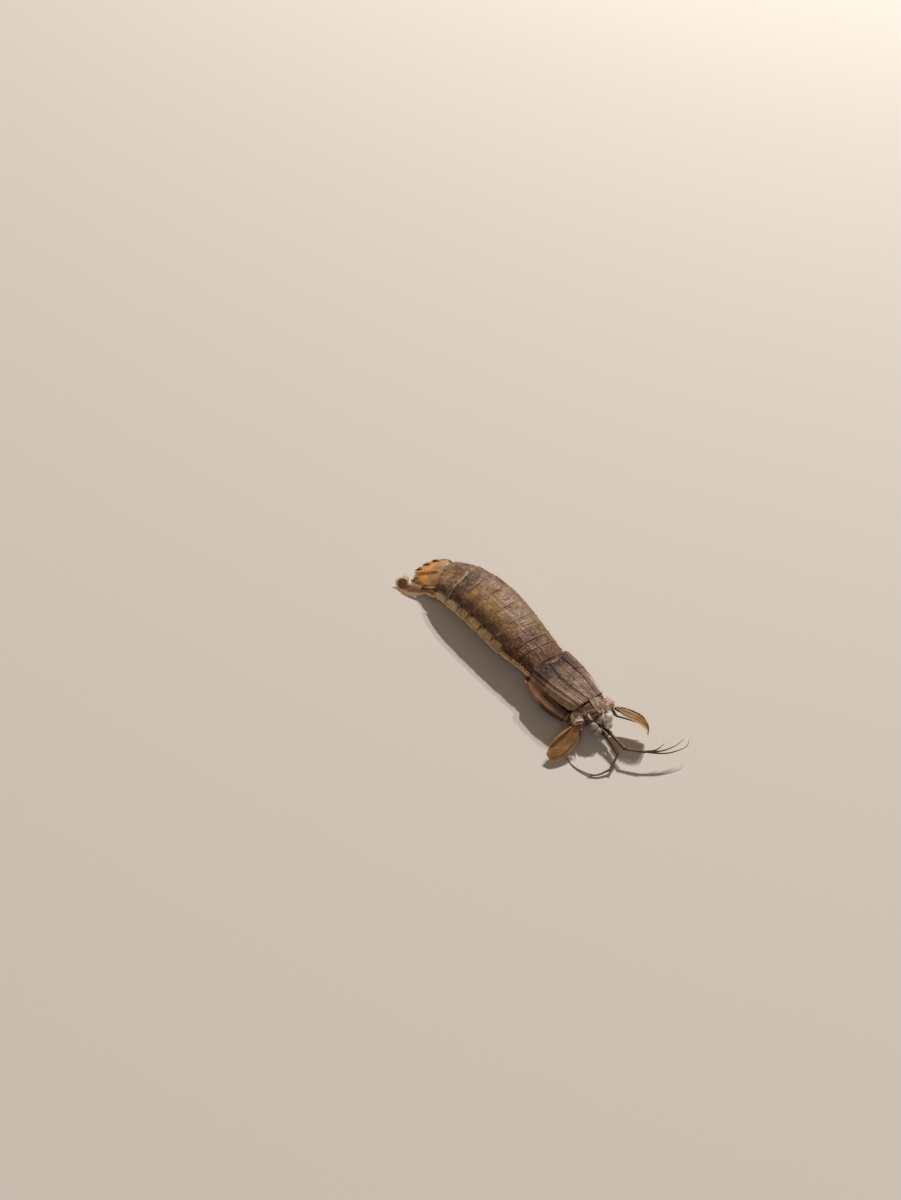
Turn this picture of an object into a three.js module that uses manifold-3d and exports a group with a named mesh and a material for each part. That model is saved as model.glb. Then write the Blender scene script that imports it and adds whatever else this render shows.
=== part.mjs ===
import * as THREE from 'three';
import { mergeVertices } from 'three/addons/utils/BufferGeometryUtils.js';
import Module from 'manifold-3d';

// Japanese mantis shrimp, an adult about 13.5 cm long, lying dried on the floor.
// Millimetres, +Z up, head towards +X, the animal's left side towards +Y, floor at z = 0.

const wasm = await Module();
wasm.setup();

// Place of the waist, where the carapace ends behind, above the origin on the floor
const WAIST_X = 12.68;
const WAIST_Y = 6.42;
const WAIST_Z = 9.5;

// Gap kept between neighbouring pieces
const GAP = 0.3;

// The body axis from the brow to the tail root. Each joint gives its distance behind the waist,
// the axis's heading, climb and lean there in degrees, and the shell's half width and crown.
const JOINTS = [
  { at: 27.8, heading: -2.6, climb: 0.1, lean: -14.0, half: 9.9, crown: 5.6 },
  { at: 0.0, heading: -5.4, climb: 4.0, lean: -8.4, half: 14.2, crown: 7.4 },
  { at: -7.6, heading: -7.2, climb: 4.1, lean: -6.8, half: 12.4, crown: 7.9 },
  { at: -12.8, heading: -7.6, climb: 3.6, lean: -5.8, half: 13.2, crown: 8.4 },
  { at: -19.7, heading: -7.8, climb: 0.9, lean: -4.4, half: 14.2, crown: 8.9 },
  { at: -27.4, heading: -7.8, climb: -3.5, lean: -2.8, half: 14.9, crown: 9.2 },
  { at: -36.7, heading: -5.7, climb: -4.4, lean: -0.9, half: 15.3, crown: 9.4 },
  { at: -46.5, heading: -2.6, climb: -1.1, lean: 1.1, half: 15.3, crown: 9.4 },
  { at: -55.3, heading: 2.4, climb: -0.7, lean: 2.9, half: 15.0, crown: 9.0 },
  { at: -64.7, heading: 7.5, climb: 5.8, lean: 4.8, half: 14.1, crown: 8.2 },
  { at: -75.4, heading: 12.1, climb: 21.2, lean: 7.1, half: 11.9, crown: 6.8 },
];
const ARCH = 0.75;
const STERNUM_RISE = 1.5;
const STERNUM_SHARE = 0.66;
const SIDE_PLATE_INSET = 1.5;
const SIDE_PLATE_RISE = 0.25;
const TERGITE_FLARE = 0.035;
const NARROW_HALF = 11.9;
const NARROW_CROWN = 5.9;

// Carapace and trunk
const CARAPACE_THICK = 1.0;
const CARAPACE_HIND_LOBE = 2.4;
const CARAPACE_HIND_BAY = 2.6;
const CARAPACE_BULGE = 1.0;
const CARAPACE_BROW_BOW = 1.2;
const CARAPACE_CORNER_CUT = 0.07;
const TRUNK_STATIONS = [0.4, 5, 12, 19, 26.5];
const TRUNK_HALF = 7.2;
const TRUNK_INSET = 2.6;
const TRUNK_REAR_ROOF = 5.7;
const TRUNK_ROOF = 9;
const TRUNK_SINK = 0.15;
const TRUNK_SHOULDER = 0.4;
const TRUNK_BELLY = 2.2;

// Head
const HEAD_FRAME = { x: 28.4, y: -2.2, z: 10.2, heading: -14, climb: -26, lean: -14 };
const HEAD_LENGTH = 7.6;
const HEAD_HALF = 5.2;
const HEAD_TALL = 3.6;
const HEAD_TAPER = 0.45;
const ROSTRUM_START = 0.6;
const ROSTRUM_LENGTH = 6.4;
const ROSTRUM_HALF = 2.9;
const ROSTRUM_TAPER = 0.35;
const ROSTRUM_RISE = 4.9;
const ROSTRUM_THICK = 0.6;
const ROSTRUM_ARCH = 0.5;
const ROSTRUM_HOLLOW = 0.2;
const CORNEA_LENGTH = 7.8;
const CORNEA_RADIUS = 2.05;
const CORNEA_POLE = 0.35;
const EYESTALK_ROOT = 1.3;
const EYESTALK_TIP = 1.7;
const EYES = {
  left: { centre: [39.0, -0.9, 9.0], heading: -42, climb: -38, root: [34.4, -3.2, 8.8] },
  right: { centre: [37.2, -8.0, 7.6], heading: 8, climb: -36, root: [33.6, -5.9, 8.4] },
};

// Antennules: base, then length, heading and climb of each segment
const ANTENNULES = {
  left: {
    base: [38.2, -2.6, 4.6],
    stem: [[5.4, -8, 10], [10.4, -12, 8], [9.3, 38, 3]],
    whips: [
      [[6.2, 57, 4], [5.0, 84, 11]],
      [[9.4, 45, -3], [6.0, 60, 0], [6.4, 73, 4], [3.2, 112, 9]],
      [[9.0, 52, 1], [7.6, 70, 5], [4.2, 84, 13]],
    ],
  },
  right: {
    base: [37.2, -5.3, 4.5],
    stem: [[6.2, -6, 9], [9.4, -14, -11], [9.1, -73, -12]],
    whips: [
      [[7.8, -114, -8], [8.8, -157, -3], [8.0, -184, -1]],
      [[6.4, -110, -8], [5.2, -128, -5]],
    ],
  },
};
const STEM_RADIUS = 1.15;
const STEM_TAPER = 0.17;
const WHIP_RADIUS = 0.42;

// Antennae: stout base, feeler and the leaf-like scale
const ANTENNAE = {
  left: {
    base: [29.2, 5.2, 9.2],
    stem: [[6.6, 8, 8]],
    feeler: [[5.5, -12, -24], [7.0, 36, -10], [7.2, 33, -9]],
    scale: [[5.0, 18, 5], [7.0, 22, -3], [5.5, 12, -24], [4.6, -25, -52]],
    scaleWide: [-0.43, 0.71, -0.46],
  },
  right: {
    base: [25.2, -9.4, 9.4],
    stem: [[6.4, -30, -12]],
    feeler: [[4.0, -24, -30], [5.6, -48, -28], [3.4, -62, -10]],
    scale: [[6.0, -84, -18], [8.0, -91, -16], [6.4, -95, -13]],
    scaleWide: [0.93, 0.25, -0.27],
  },
};
const ANTENNA_RADIUS = 3.0;
const FEELER_ROOT = 0.9;
const FEELER_MIDDLE = 0.5;
const FEELER_TIP = 0.28;
const SCALE_HALF = 3.3;
const SCALE_THICK = 0.75;

// Raptorial claws, folded along the body. Places are those of the right one; the left is lower.
const CLAWS = {
  right: { side: -1, meral: [14.4, 7.6], propodal: [9.6, 2.5], depth: 4.0 },
  left: { side: 1, meral: [10.2, 4.6], propodal: [4.8, 2.5], depth: 3.1 },
};
const MERUS_LENGTH = 27;
const MERUS_HIND = -1.5;
const MERUS_HALF = 2.9;
// Merus axis: fraction of the length, how far it lies outward and above its nominal place
const MERUS_AXIS = [
  [0, -1.6, 0.4],
  [0.5, 0.5, 0],
  [1, -1.0, -1.2],
];
const PROPODUS_LENGTH = 31;
const PROPODUS_FRONT = 27.5;
const PROPODUS_HALF = 2.1;
const PROPODUS_DEPTH = 2.8;
const PROPODUS_SPLAY = 0.4;
const DACTYLUS_LENGTH = 26;
const DACTYLUS_START = 1;
const DACTYLUS_INSET = 1.3;
const DACTYLUS_BOW = 1.1;
const DACTYLUS_HALF = 0.9;
const DACTYLUS_DEPTH = 1.5;
const DACTYLUS_DROP = 1.1;
const DACTYLUS_TEETH = 6;
const DACTYLUS_TOOTH = 1.1;
const RINGS_PER_TOOTH = 3;

// Maxillipeds: number, distance in front of the waist and out from the middle, reach forward,
// half width of the small hand at the end, and fall of the leg
const MAXILLIPEDS = [
  { number: 1, x: 23.4, out: 1.9, reach: 7.0, disc: 1.1, drop: 1.3 },
  { number: 3, x: 17.5, out: 2.6, reach: 7.0, disc: 1.9, drop: 1.4 },
  { number: 4, x: 11.0, out: 3.0, reach: 7.0, disc: 1.8, drop: 1.3 },
  { number: 5, x: 4.5, out: 2.9, reach: 6.6, disc: 1.8, drop: 1.2 },
];
const MAXILLIPED_HANG = 1.0;
const MAXILLIPED_RADIUS = 0.75;
const MAXILLIPED_ELBOW_RADIUS = 0.65;
const HAND_THICK = 0.8;
const HAND_TIP_THICK = 0.5;

// Walking legs on the last three thoracic somites
const LEG_RADIUS = 1.0;
const HIP_OUT = 6.2;
const KNEE_OUT = 9.8;
const KNEE_DROP = 2.0;
const KNEE_BACK = 0.4;
const FOOT_BACK = 3.0;
const FOOT_OUT = 2.2;
const FOOT_HEIGHT = 0.1;
const FOOT_RADIUS = 0.4;

// Pleopods
const PLEOPOD_OUT = 6.4;
const PLEOPOD_LENGTH = 8.6;
const PLEOPOD_HALF = 3.9;
const PLEOPOD_THICK = 0.6;
const PLEOPOD_PLACE = 0.3;
const PLEOPOD_HANG = 1.0;
const PLEOPOD_SLANT = 48;

// Tail fan
const TELSON_FRAME = { x: -77.3, y: 1.8, z: 10.5, heading: 21, climb: 31, lean: 11 };
const TELSON_LENGTH = 19;
const TELSON_HALF = 10.2;
const TELSON_CROWN = 2.3;
const TELSON_CROWN_FALL = 0.55;
const TELSON_RIM = 0.5;
const TELSON_UNDER = 0.3;
const TELSON_KEEL = 0.8;
const TELSON_NOTCH = 1.8;
const TELSON_NOTCH_HALF = 2.2;

// Uropods: base, then length, heading and climb of each segment
const UROPODS = {
  left: {
    base: [-76.3, 9.8, 5.6],
    protopod: [[6.2, -147, -26]],
    fork: [
      [[7.6, -118, 3]],
      [[3.6, -128, -8]],
    ],
    exopodFrom: [-0.8, -0.4, -1.2],
    exopod: [[8.0, -150, -9], [7.7, -101, -2]],
    endopodFrom: [-1.1, -1.2, 1.5],
    endopod: [[9.0, -132, -2]],
    bladeWide: [-0.7, 0.7, 0.0],
  },
  right: {
    base: [-72.6, -9.0, 4.4],
    protopod: [[6.7, -158, -10]],
    fork: [
      [[10.5, -176, -18]],
      [[3.6, -178, -20]],
    ],
    exopodFrom: [-1.2, -0.9, -0.7],
    exopod: [[11.4, -156, -6], [7.8, -212, 16]],
    endopodFrom: [-1.2, 2.25, -1.2],
    endopod: [[9.6, -187, -7]],
    bladeWide: [-0.2, 0.69, 0.55],
  },
};
const UROPOD_BASE_HALF = 2.1;
const UROPOD_BASE_TALL = 1.3;
const FORK_HALF = 1.2;
const FORK_THICK = 0.6;
const EXOPOD_HALF = 3.3;
const ENDOPOD_HALF = 1.9;
const BLADE_THICK = 0.45;

// Colours, roughness
const MATERIALS = {
  carapace: ['#6f5a4a', 0.55],
  thorax: ['#7a6148', 0.55],
  abdomen: ['#a98555', 0.45],
  telson: ['#c98a3c', 0.4],
  uropod: ['#8d6a45', 0.45],
  limb: ['#b09468', 0.55],
  claw: ['#7d5242', 0.4],
  feeler: ['#4a3222', 0.5],
  scale: ['#b47a3e', 0.5],
  eye: ['#9aa3ab', 0.25],
  pleopod: ['#b8a27c', 0.6],
};

const root = new THREE.Group();
root.position.set(WAIST_X, WAIST_Y, 0);

function vec(x, y, z) {
  return new THREE.Vector3(x, y, z);
}

function direction(heading, climb) {
  const yaw = THREE.MathUtils.degToRad(heading);
  const pitch = THREE.MathUtils.degToRad(climb);
  return vec(Math.cos(yaw) * Math.cos(pitch), Math.sin(yaw) * Math.cos(pitch), Math.sin(pitch));
}

function frameAt(origin, heading, climb, lean) {
  const forward = direction(heading, climb);
  const level = direction(heading + 90, 0);
  const top = forward.clone().cross(level);
  const roll = THREE.MathUtils.degToRad(lean);
  const left = level.clone().multiplyScalar(Math.cos(roll)).addScaledVector(top, Math.sin(roll));
  const up = top.clone().multiplyScalar(Math.cos(roll)).addScaledVector(level, -Math.sin(roll));
  return { origin, forward, left, up };
}

function place(frame, along, across, above) {
  return frame.origin
    .clone()
    .addScaledVector(frame.forward, along)
    .addScaledVector(frame.left, across)
    .addScaledVector(frame.up, above);
}

function between(a, b, t) {
  return a + (b - a) * t;
}

// Frame of the body axis at a distance in front of the waist, with the shell's size there
function bodyAt(s) {
  const waist = 1;
  const step = s >= 0 ? -1 : 1;
  let origin = vec(0, 0, WAIST_Z);
  let index = waist;
  for (;;) {
    const here = JOINTS[index];
    const next = JOINTS[index + step];
    const last = index + step === 0 || index + step === JOINTS.length - 1;
    const inside = step < 0 ? s <= next.at : s >= next.at;
    const t = (s - here.at) / (next.at - here.at);
    const part = inside || last ? t : 1;
    const heading = between(here.heading, next.heading, part);
    const climb = between(here.climb, next.climb, part);
    const run = (next.at - here.at) * part;
    const chord = direction((here.heading + heading) / 2, (here.climb + climb) / 2);
    origin = origin.clone().addScaledVector(chord, run);
    if (inside || last) {
      return {
        ...frameAt(origin, heading, climb, between(here.lean, next.lean, part)),
        half: between(here.half, next.half, part),
        crown: between(here.crown, next.crown, part),
      };
    }
    index += step;
  }
}

// Closed body from a geometry whose vertices have been moved
function closed(geometry) {
  geometry.deleteAttribute('normal');
  geometry.deleteAttribute('uv');
  const merged = mergeVertices(geometry, 1e-4);
  const position = merged.attributes.position;
  const index = merged.index;
  const a = vec(0, 0, 0);
  const b = vec(0, 0, 0);
  const c = vec(0, 0, 0);
  let volume = 0;
  for (let i = 0; i < index.count; i += 3) {
    a.fromBufferAttribute(position, index.getX(i));
    b.fromBufferAttribute(position, index.getX(i + 1));
    c.fromBufferAttribute(position, index.getX(i + 2));
    volume += a.dot(b.cross(c));
  }
  if (volume < 0) {
    for (let i = 0; i < index.count; i += 3) {
      const keep = index.getX(i);
      index.setX(i, index.getX(i + 1));
      index.setX(i + 1, keep);
    }
  }
  return merged;
}

// Skin through rings of points: a cylinder whose vertices are moved onto the rings
function loft(rings) {
  const sides = rings[0].length;
  const steps = rings.length - 1;
  const geometry = new THREE.CylinderGeometry(1, 1, 1, sides, steps);
  const position = geometry.attributes.position;
  const centres = rings.map((ring) => {
    const sum = vec(0, 0, 0);
    ring.forEach((point) => sum.add(point));
    return sum.divideScalar(sides);
  });
  for (let i = 0; i < position.count; i += 1) {
    const x = position.getX(i);
    const z = position.getZ(i);
    const row = Math.round((0.5 - position.getY(i)) * steps);
    const turn = Math.atan2(x, z) / (2 * Math.PI);
    const side = (Math.round(turn * sides) + sides) % sides;
    const rim = Math.hypot(x, z) > 0.5;
    const point = rim ? rings[row][side] : centres[row];
    position.setXYZ(i, point.x, point.y, Math.max(point.z, 0));
  }
  return closed(geometry);
}

// Half widths along a limb by cosine blending between named places
function profile(stops, t) {
  for (let i = 1; i < stops.length; i += 1) {
    if (t <= stops[i][0]) {
      const k = (t - stops[i - 1][0]) / (stops[i][0] - stops[i - 1][0]);
      const soft = (1 - Math.cos(Math.PI * k)) / 2;
      return stops[i].map((value, n) => between(stops[i - 1][n], value, soft));
    }
  }
  return stops[stops.length - 1];
}

// Points of a jointed limb from its base and its segments' length, heading and climb
function chain(base, segments) {
  const points = [vec(...base)];
  segments.forEach(([length, heading, climb]) => {
    const last = points[points.length - 1];
    points.push(last.clone().addScaledVector(direction(heading, climb), length));
  });
  return points;
}

// Limb along points. Each stop gives a fraction of the length, the half width and the half
// thickness. The width lies along the given direction, or level where none is given.
function limb(points, stops, { wide = null, sides = 8, steps = 8, round = true } = {}) {
  const curve = round
    ? new THREE.CatmullRomCurve3(points, false, 'centripetal')
    : new THREE.LineCurve3(points[0], points[points.length - 1]);
  const rings = [];
  for (let i = 0; i <= steps; i += 1) {
    const t = i / steps;
    const centre = curve.getPointAt(t);
    const tangent = curve.getTangentAt(t);
    const level = vec(-tangent.y, tangent.x, 0);
    const sideways = wide ?? level;
    const off = sideways.dot(tangent);
    const across = sideways.clone().addScaledVector(tangent, -off).normalize();
    const normal = tangent.clone().cross(across).normalize();
    const [, halfWidth, halfThick] = profile(stops, t);
    const ring = [];
    for (let k = 0; k < sides; k += 1) {
      const a = (2 * Math.PI * k) / sides;
      ring.push(
        centre
          .clone()
          .addScaledVector(across, halfWidth * Math.cos(a))
          .addScaledVector(normal, halfThick * Math.sin(a)),
      );
    }
    rings.push(ring);
  }
  return loft(rings);
}

function solid(geometry) {
  const vertProperties = new Float32Array(geometry.attributes.position.array);
  const triVerts = new Uint32Array(geometry.index.array);
  return new wasm.Manifold(new wasm.Mesh({ numProp: 3, vertProperties, triVerts }));
}

function back(manifold) {
  const mesh = manifold.getMesh();
  const geometry = new THREE.BufferGeometry();
  geometry.setAttribute('position', new THREE.BufferAttribute(new Float32Array(mesh.vertProperties), 3));
  geometry.setIndex(new THREE.BufferAttribute(new Uint32Array(mesh.triVerts), 1));
  return geometry;
}

function join(geometries) {
  return back(geometries.map(solid).reduce((all, next) => all.add(next)));
}

function trim(geometry, cutters) {
  return back(cutters.map(solid).reduce((rest, cutter) => rest.subtract(cutter), solid(geometry)));
}

function addPart(name, geometry, look) {
  const [color, roughness] = MATERIALS[look];
  const material = new THREE.MeshStandardMaterial({ color, roughness, metalness: 0 });
  const mesh = new THREE.Mesh(geometry, material);
  mesh.name = name;
  root.add(mesh);
}

// Points of the dorsal arch from the right edge over the crown to the left edge
function arch(half, crown, count) {
  const points = [];
  for (let i = 0; i < count; i += 1) {
    const a = Math.PI * (1 - i / (count - 1));
    const c = Math.cos(a);
    const across = half * Math.sign(c) * Math.abs(c) ** ARCH;
    points.push([across, crown * Math.sin(a) ** ARCH]);
  }
  return points;
}

// Somite: arched tergite above, side plates that reach a little below the flat sternum
function somiteRing(s, scale, half, crown) {
  const frame = bodyAt(s);
  const wide = half * scale;
  const outline = [
    ...arch(wide, crown * scale, 13),
    [wide - SIDE_PLATE_INSET, SIDE_PLATE_RISE],
    [wide * STERNUM_SHARE, STERNUM_RISE],
    [0, STERNUM_RISE],
    [-wide * STERNUM_SHARE, STERNUM_RISE],
    [SIDE_PLATE_INSET - wide, SIDE_PLATE_RISE],
  ];
  return outline.map(([across, above]) => place(frame, 0, across, above));
}

function somite(name, front, hind, look) {
  const from = front.at - GAP / 2;
  const to = hind.at + GAP / 2;
  const rings = [0, 0.5, 1].map((t) => {
    const scale = 1 - TERGITE_FLARE * (1 - t);
    const half = between(front.half, hind.half, t);
    const crown = between(front.crown, hind.crown, t);
    return somiteRing(between(from, to, t), scale, half, crown);
  });
  addPart(name, loft(rings), look);
}

// Thorax behind the carapace: its front end slips under the carapace
const underCarapace = { ...JOINTS[1], half: NARROW_HALF, crown: NARROW_CROWN };
somite('thoracic_somite_6', underCarapace, JOINTS[2], 'thorax');
somite('thoracic_somite_7', JOINTS[2], JOINTS[3], 'thorax');
somite('thoracic_somite_8', JOINTS[3], JOINTS[4], 'thorax');

// Abdomen
for (let n = 1; n <= 6; n += 1) {
  somite(`abdominal_somite_${n}`, JOINTS[3 + n], JOINTS[4 + n], 'abdomen');
}

// Carapace: a thin arched shield, bayed behind in the middle and lobed at its hind corners
const BROW = JOINTS[0].at;
const shield = new THREE.BoxGeometry(2, 1, 1, 16, 8, 1);
const shieldPoints = shield.attributes.position;
for (let i = 0; i < shieldPoints.count; i += 1) {
  const u = shieldPoints.getX(i);
  const v = shieldPoints.getY(i) + 0.5;
  const inner = shieldPoints.getZ(i) < 0;
  const hind = between(CARAPACE_HIND_BAY, -CARAPACE_HIND_LOBE, Math.abs(u) ** 1.6);
  const s = between(hind, BROW - CARAPACE_BROW_BOW * Math.abs(u) ** 3, v);
  const frame = bodyAt(Math.max(s, 0));
  const extra = Math.min(s, 0);
  const bulge = CARAPACE_BULGE * Math.sin(Math.PI * Math.min(Math.max(v, 0), 1));
  const thin = inner ? CARAPACE_THICK : 0;
  const a = (Math.PI / 2) * (1 - u);
  const c = Math.cos(a);
  const corner = 1 - CARAPACE_CORNER_CUT * (1 - v) ** 4 * Math.abs(u) ** 6;
  const across = (frame.half + bulge - thin) * corner * Math.sign(c) * Math.abs(c) ** ARCH;
  const above = (frame.crown - thin) * Math.sin(a) ** ARCH;
  const point = place(frame, extra, across, above);
  shieldPoints.setXYZ(i, point.x, point.y, point.z);
}
addPart('carapace', closed(shield), 'carapace');

// Trunk under the carapace, which carries the claws and maxillipeds
const trunkRings = TRUNK_STATIONS.map((s, n) => {
  const frame = bodyAt(s);
  const wide = Math.min(TRUNK_HALF, frame.half - TRUNK_INSET);
  const inside = frame.half - CARAPACE_THICK - GAP;
  const roof = Math.min(frame.crown - CARAPACE_THICK - GAP, n === 0 ? TRUNK_REAR_ROOF : TRUNK_ROOF);
  const outline = [];
  for (let k = 0; k <= 8; k += 1) {
    const across = between(-wide, wide, k / 8);
    const fraction = 1 - Math.abs(across / inside) ** (1 / (ARCH * 0.5));
    outline.push([across, roof * fraction ** (ARCH / 2) - TRUNK_SINK]);
  }
  outline.push([wide * 0.9, -TRUNK_SHOULDER]);
  outline.push([wide * 0.55, -TRUNK_BELLY]);
  outline.push([-wide * 0.55, -TRUNK_BELLY]);
  outline.push([-wide * 0.9, -TRUNK_SHOULDER]);
  return outline.map(([across, above]) => place(frame, 0, across, above));
});
addPart('trunk', loft(trunkRings), 'thorax');

// Head: the eye-bearing and antennule-bearing lump in front of the trunk, drooping forward
const headFrame = frameAt(
  vec(HEAD_FRAME.x, HEAD_FRAME.y, HEAD_FRAME.z),
  HEAD_FRAME.heading,
  HEAD_FRAME.climb,
  HEAD_FRAME.lean,
);
function headSkin(grow) {
  const rings = [0, 0.3, 0.65, 1].map((t) => {
    const wide = HEAD_HALF * (1 - HEAD_TAPER * t * t) + grow;
    const tall = HEAD_TALL * (1 - HEAD_TAPER * t * t) + grow;
    const along = HEAD_LENGTH * t + grow * Math.sign(t - 0.5);
    const ring = [];
    for (let k = 0; k < 12; k += 1) {
      const a = (2 * Math.PI * k) / 12;
      ring.push(place(headFrame, along, wide * Math.cos(a), tall * Math.sin(a)));
    }
    return ring;
  });
  return loft(rings);
}
addPart('head', headSkin(0), 'carapace');
const headClear = headSkin(GAP);

// Rostral plate: a small flat trapezoid hinged to the carapace's front edge
const rostrumRings = [0, 0.5, 1].map((t) => {
  const wide = ROSTRUM_HALF * (1 - ROSTRUM_TAPER * t);
  const along = ROSTRUM_START + ROSTRUM_LENGTH * t;
  const ring = [
    [-wide, 0],
    [0, ROSTRUM_ARCH],
    [wide, 0],
    [wide, -ROSTRUM_THICK],
    [0, ROSTRUM_HOLLOW - ROSTRUM_THICK],
    [-wide, -ROSTRUM_THICK],
  ];
  return ring.map(([across, above]) => place(headFrame, along, across, above + ROSTRUM_RISE));
});
addPart('rostral_plate', loft(rostrumRings), 'carapace');

// Eyes: two-lobed corneas on short stalks
for (const [side, eye] of Object.entries(EYES)) {
  const axis = direction(eye.heading, eye.climb);
  const centre = vec(...eye.centre);
  const ends = [-0.5, 0.5].map((k) => centre.clone().addScaledVector(axis, CORNEA_LENGTH * k));
  const r = CORNEA_RADIUS;
  const lobes = [
    [0, CORNEA_POLE, CORNEA_POLE],
    [0.1, r * 0.72, r * 0.72],
    [0.28, r, r],
    [0.5, r * 0.84, r * 0.84],
    [0.72, r, r],
    [0.9, r * 0.72, r * 0.72],
    [1, CORNEA_POLE, CORNEA_POLE],
  ];
  const form = { sides: 10, steps: 10, round: false };
  addPart(`cornea_${side}`, limb(ends, lobes, form), 'eye');
  const clear = limb(ends, lobes.map(([t, wide, thick]) => [t, wide + GAP, thick + GAP]), form);
  const stalkStops = [
    [0, EYESTALK_ROOT, EYESTALK_ROOT],
    [1, EYESTALK_TIP, EYESTALK_TIP],
  ];
  const stalk = limb([vec(...eye.root), centre], stalkStops, { steps: 2, round: false });
  addPart(`eyestalk_${side}`, trim(stalk, [clear, headClear]), 'carapace');
}

// Antennules: three stout segments and their whips
for (const [side, item] of Object.entries(ANTENNULES)) {
  const stemPoints = chain(item.base, item.stem);
  const pieces = [];
  for (let i = 0; i < 3; i += 1) {
    const r = STEM_RADIUS * (1 - STEM_TAPER * i);
    const stops = [
      [0, r * 0.8, r * 0.8],
      [0.85, r, r],
      [1, r * 0.85, r * 0.85],
    ];
    pieces.push(limb([stemPoints[i], stemPoints[i + 1]], stops, { sides: 6, steps: 3, round: false }));
  }
  item.whips.forEach((whip) => {
    const from = stemPoints[3].clone().lerp(stemPoints[2], 0.08);
    const stops = [
      [0, WHIP_RADIUS * 1.4, WHIP_RADIUS * 1.4],
      [1, WHIP_RADIUS * 0.65, WHIP_RADIUS * 0.65],
    ];
    pieces.push(limb(chain(from.toArray(), whip), stops, { sides: 5, steps: 4 * whip.length }));
  });
  addPart(`antennule_${side}`, join(pieces), 'feeler');
}

// Antennae: stout base with the feeler, and the leaf-like scale beside it
for (const [side, item] of Object.entries(ANTENNAE)) {
  const stemPoints = chain(item.base, item.stem);
  const r = ANTENNA_RADIUS;
  const stemStops = [
    [0, r * 0.7, r * 0.7],
    [0.35, r, r],
    [1, r * 0.7, r * 0.7],
  ];
  const tip = stemPoints[stemPoints.length - 1];
  const feelerStops = [
    [0, FEELER_ROOT, FEELER_ROOT],
    [0.4, FEELER_MIDDLE, FEELER_MIDDLE],
    [1, FEELER_TIP, FEELER_TIP],
  ];
  const from = tip.clone().lerp(stemPoints[0], 0.3);
  const feeler = limb(chain(from.toArray(), item.feeler), feelerStops, { sides: 5, steps: 8 });
  const stem = limb(stemPoints, stemStops, { steps: 4, round: false });
  addPart(`antenna_${side}`, join([stem, feeler]), 'limb');
  const scaleFrom = tip.clone().addScaledVector(direction(item.scale[0][1], item.scale[0][2]), GAP * 5);
  const scaleStops = [
    [0, SCALE_HALF * 0.3, SCALE_THICK],
    [0.25, SCALE_HALF * 0.8, SCALE_THICK],
    [0.6, SCALE_HALF, SCALE_THICK * 0.8],
    [0.88, SCALE_HALF * 0.75, SCALE_THICK * 0.6],
    [1, SCALE_HALF * 0.16, SCALE_THICK * 0.4],
  ];
  const wide = vec(...item.scaleWide).normalize();
  addPart(
    `antennal_scale_${side}`,
    limb(chain(scaleFrom.toArray(), item.scale), scaleStops, { wide, sides: 8, steps: 10 }),
    'scale',
  );
}

// Raptorial claws: merus, propodus with its short carpus, and the toothed dactylus
for (const [side, claw] of Object.entries(CLAWS)) {
  const y = claw.side;
  const [meralOut, meralHeight] = claw.meral;
  const [propodalOut, propodalHeight] = claw.propodal;
  const merusPoints = MERUS_AXIS.map(([t, out, above]) =>
    vec(MERUS_HIND + MERUS_LENGTH * t, y * (meralOut + out), meralHeight + above),
  );
  const merusStops = [
    [0, MERUS_HALF * 0.35, claw.depth * 0.4],
    [0.2, MERUS_HALF * 0.8, claw.depth * 0.85],
    [0.55, MERUS_HALF, claw.depth],
    [0.9, MERUS_HALF * 0.85, claw.depth * 0.75],
    [1, MERUS_HALF * 0.5, claw.depth * 0.5],
  ];
  addPart(`claw_merus_${side}`, limb(merusPoints, merusStops, { sides: 10, steps: 8 }), 'claw');
  const frontPoint = vec(PROPODUS_FRONT, y * (propodalOut + PROPODUS_SPLAY), propodalHeight);
  const hindX = PROPODUS_FRONT - PROPODUS_LENGTH;
  const hindPoint = vec(hindX, y * (propodalOut - PROPODUS_SPLAY), propodalHeight);
  const propodusStops = [
    [0, PROPODUS_HALF * 0.55, PROPODUS_DEPTH * 0.5],
    [0.12, PROPODUS_HALF, PROPODUS_DEPTH * 0.9],
    [0.4, PROPODUS_HALF, PROPODUS_DEPTH],
    [0.85, PROPODUS_HALF * 0.8, PROPODUS_DEPTH],
    [1, PROPODUS_HALF * 0.4, PROPODUS_DEPTH * 0.7],
  ];
  const propodus = limb([frontPoint, hindPoint], propodusStops, { sides: 10, steps: 9, round: false });
  addPart(`claw_propodus_${side}`, propodus, 'claw');
  const bladeOut = propodalOut - PROPODUS_HALF - DACTYLUS_INSET;
  const rings = [];
  const steps = DACTYLUS_TEETH * RINGS_PER_TOOTH;
  for (let i = 0; i <= steps; i += 1) {
    const t = i / steps;
    const x = hindX + DACTYLUS_START + DACTYLUS_LENGTH * t;
    const bow = DACTYLUS_BOW * Math.sin(Math.PI * t);
    const tooth = i > 1 && i < steps && i % RINGS_PER_TOOTH === 0 ? DACTYLUS_TOOTH : 0;
    const half = DACTYLUS_HALF * (1 - 0.65 * t);
    const deep = DACTYLUS_DEPTH * (1 - 0.6 * t);
    const out = bladeOut - bow;
    const high = propodalHeight - DACTYLUS_DROP;
    rings.push([
      vec(x, y * (out - half), high),
      vec(x, y * out, high + deep * 0.8),
      vec(x, y * (out + half), high + deep + tooth),
      vec(x, y * (out + half * 0.4), high - deep * 0.4),
    ]);
  }
  addPart(`claw_dactylus_${side}`, loft(rings), 'claw');
}

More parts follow.
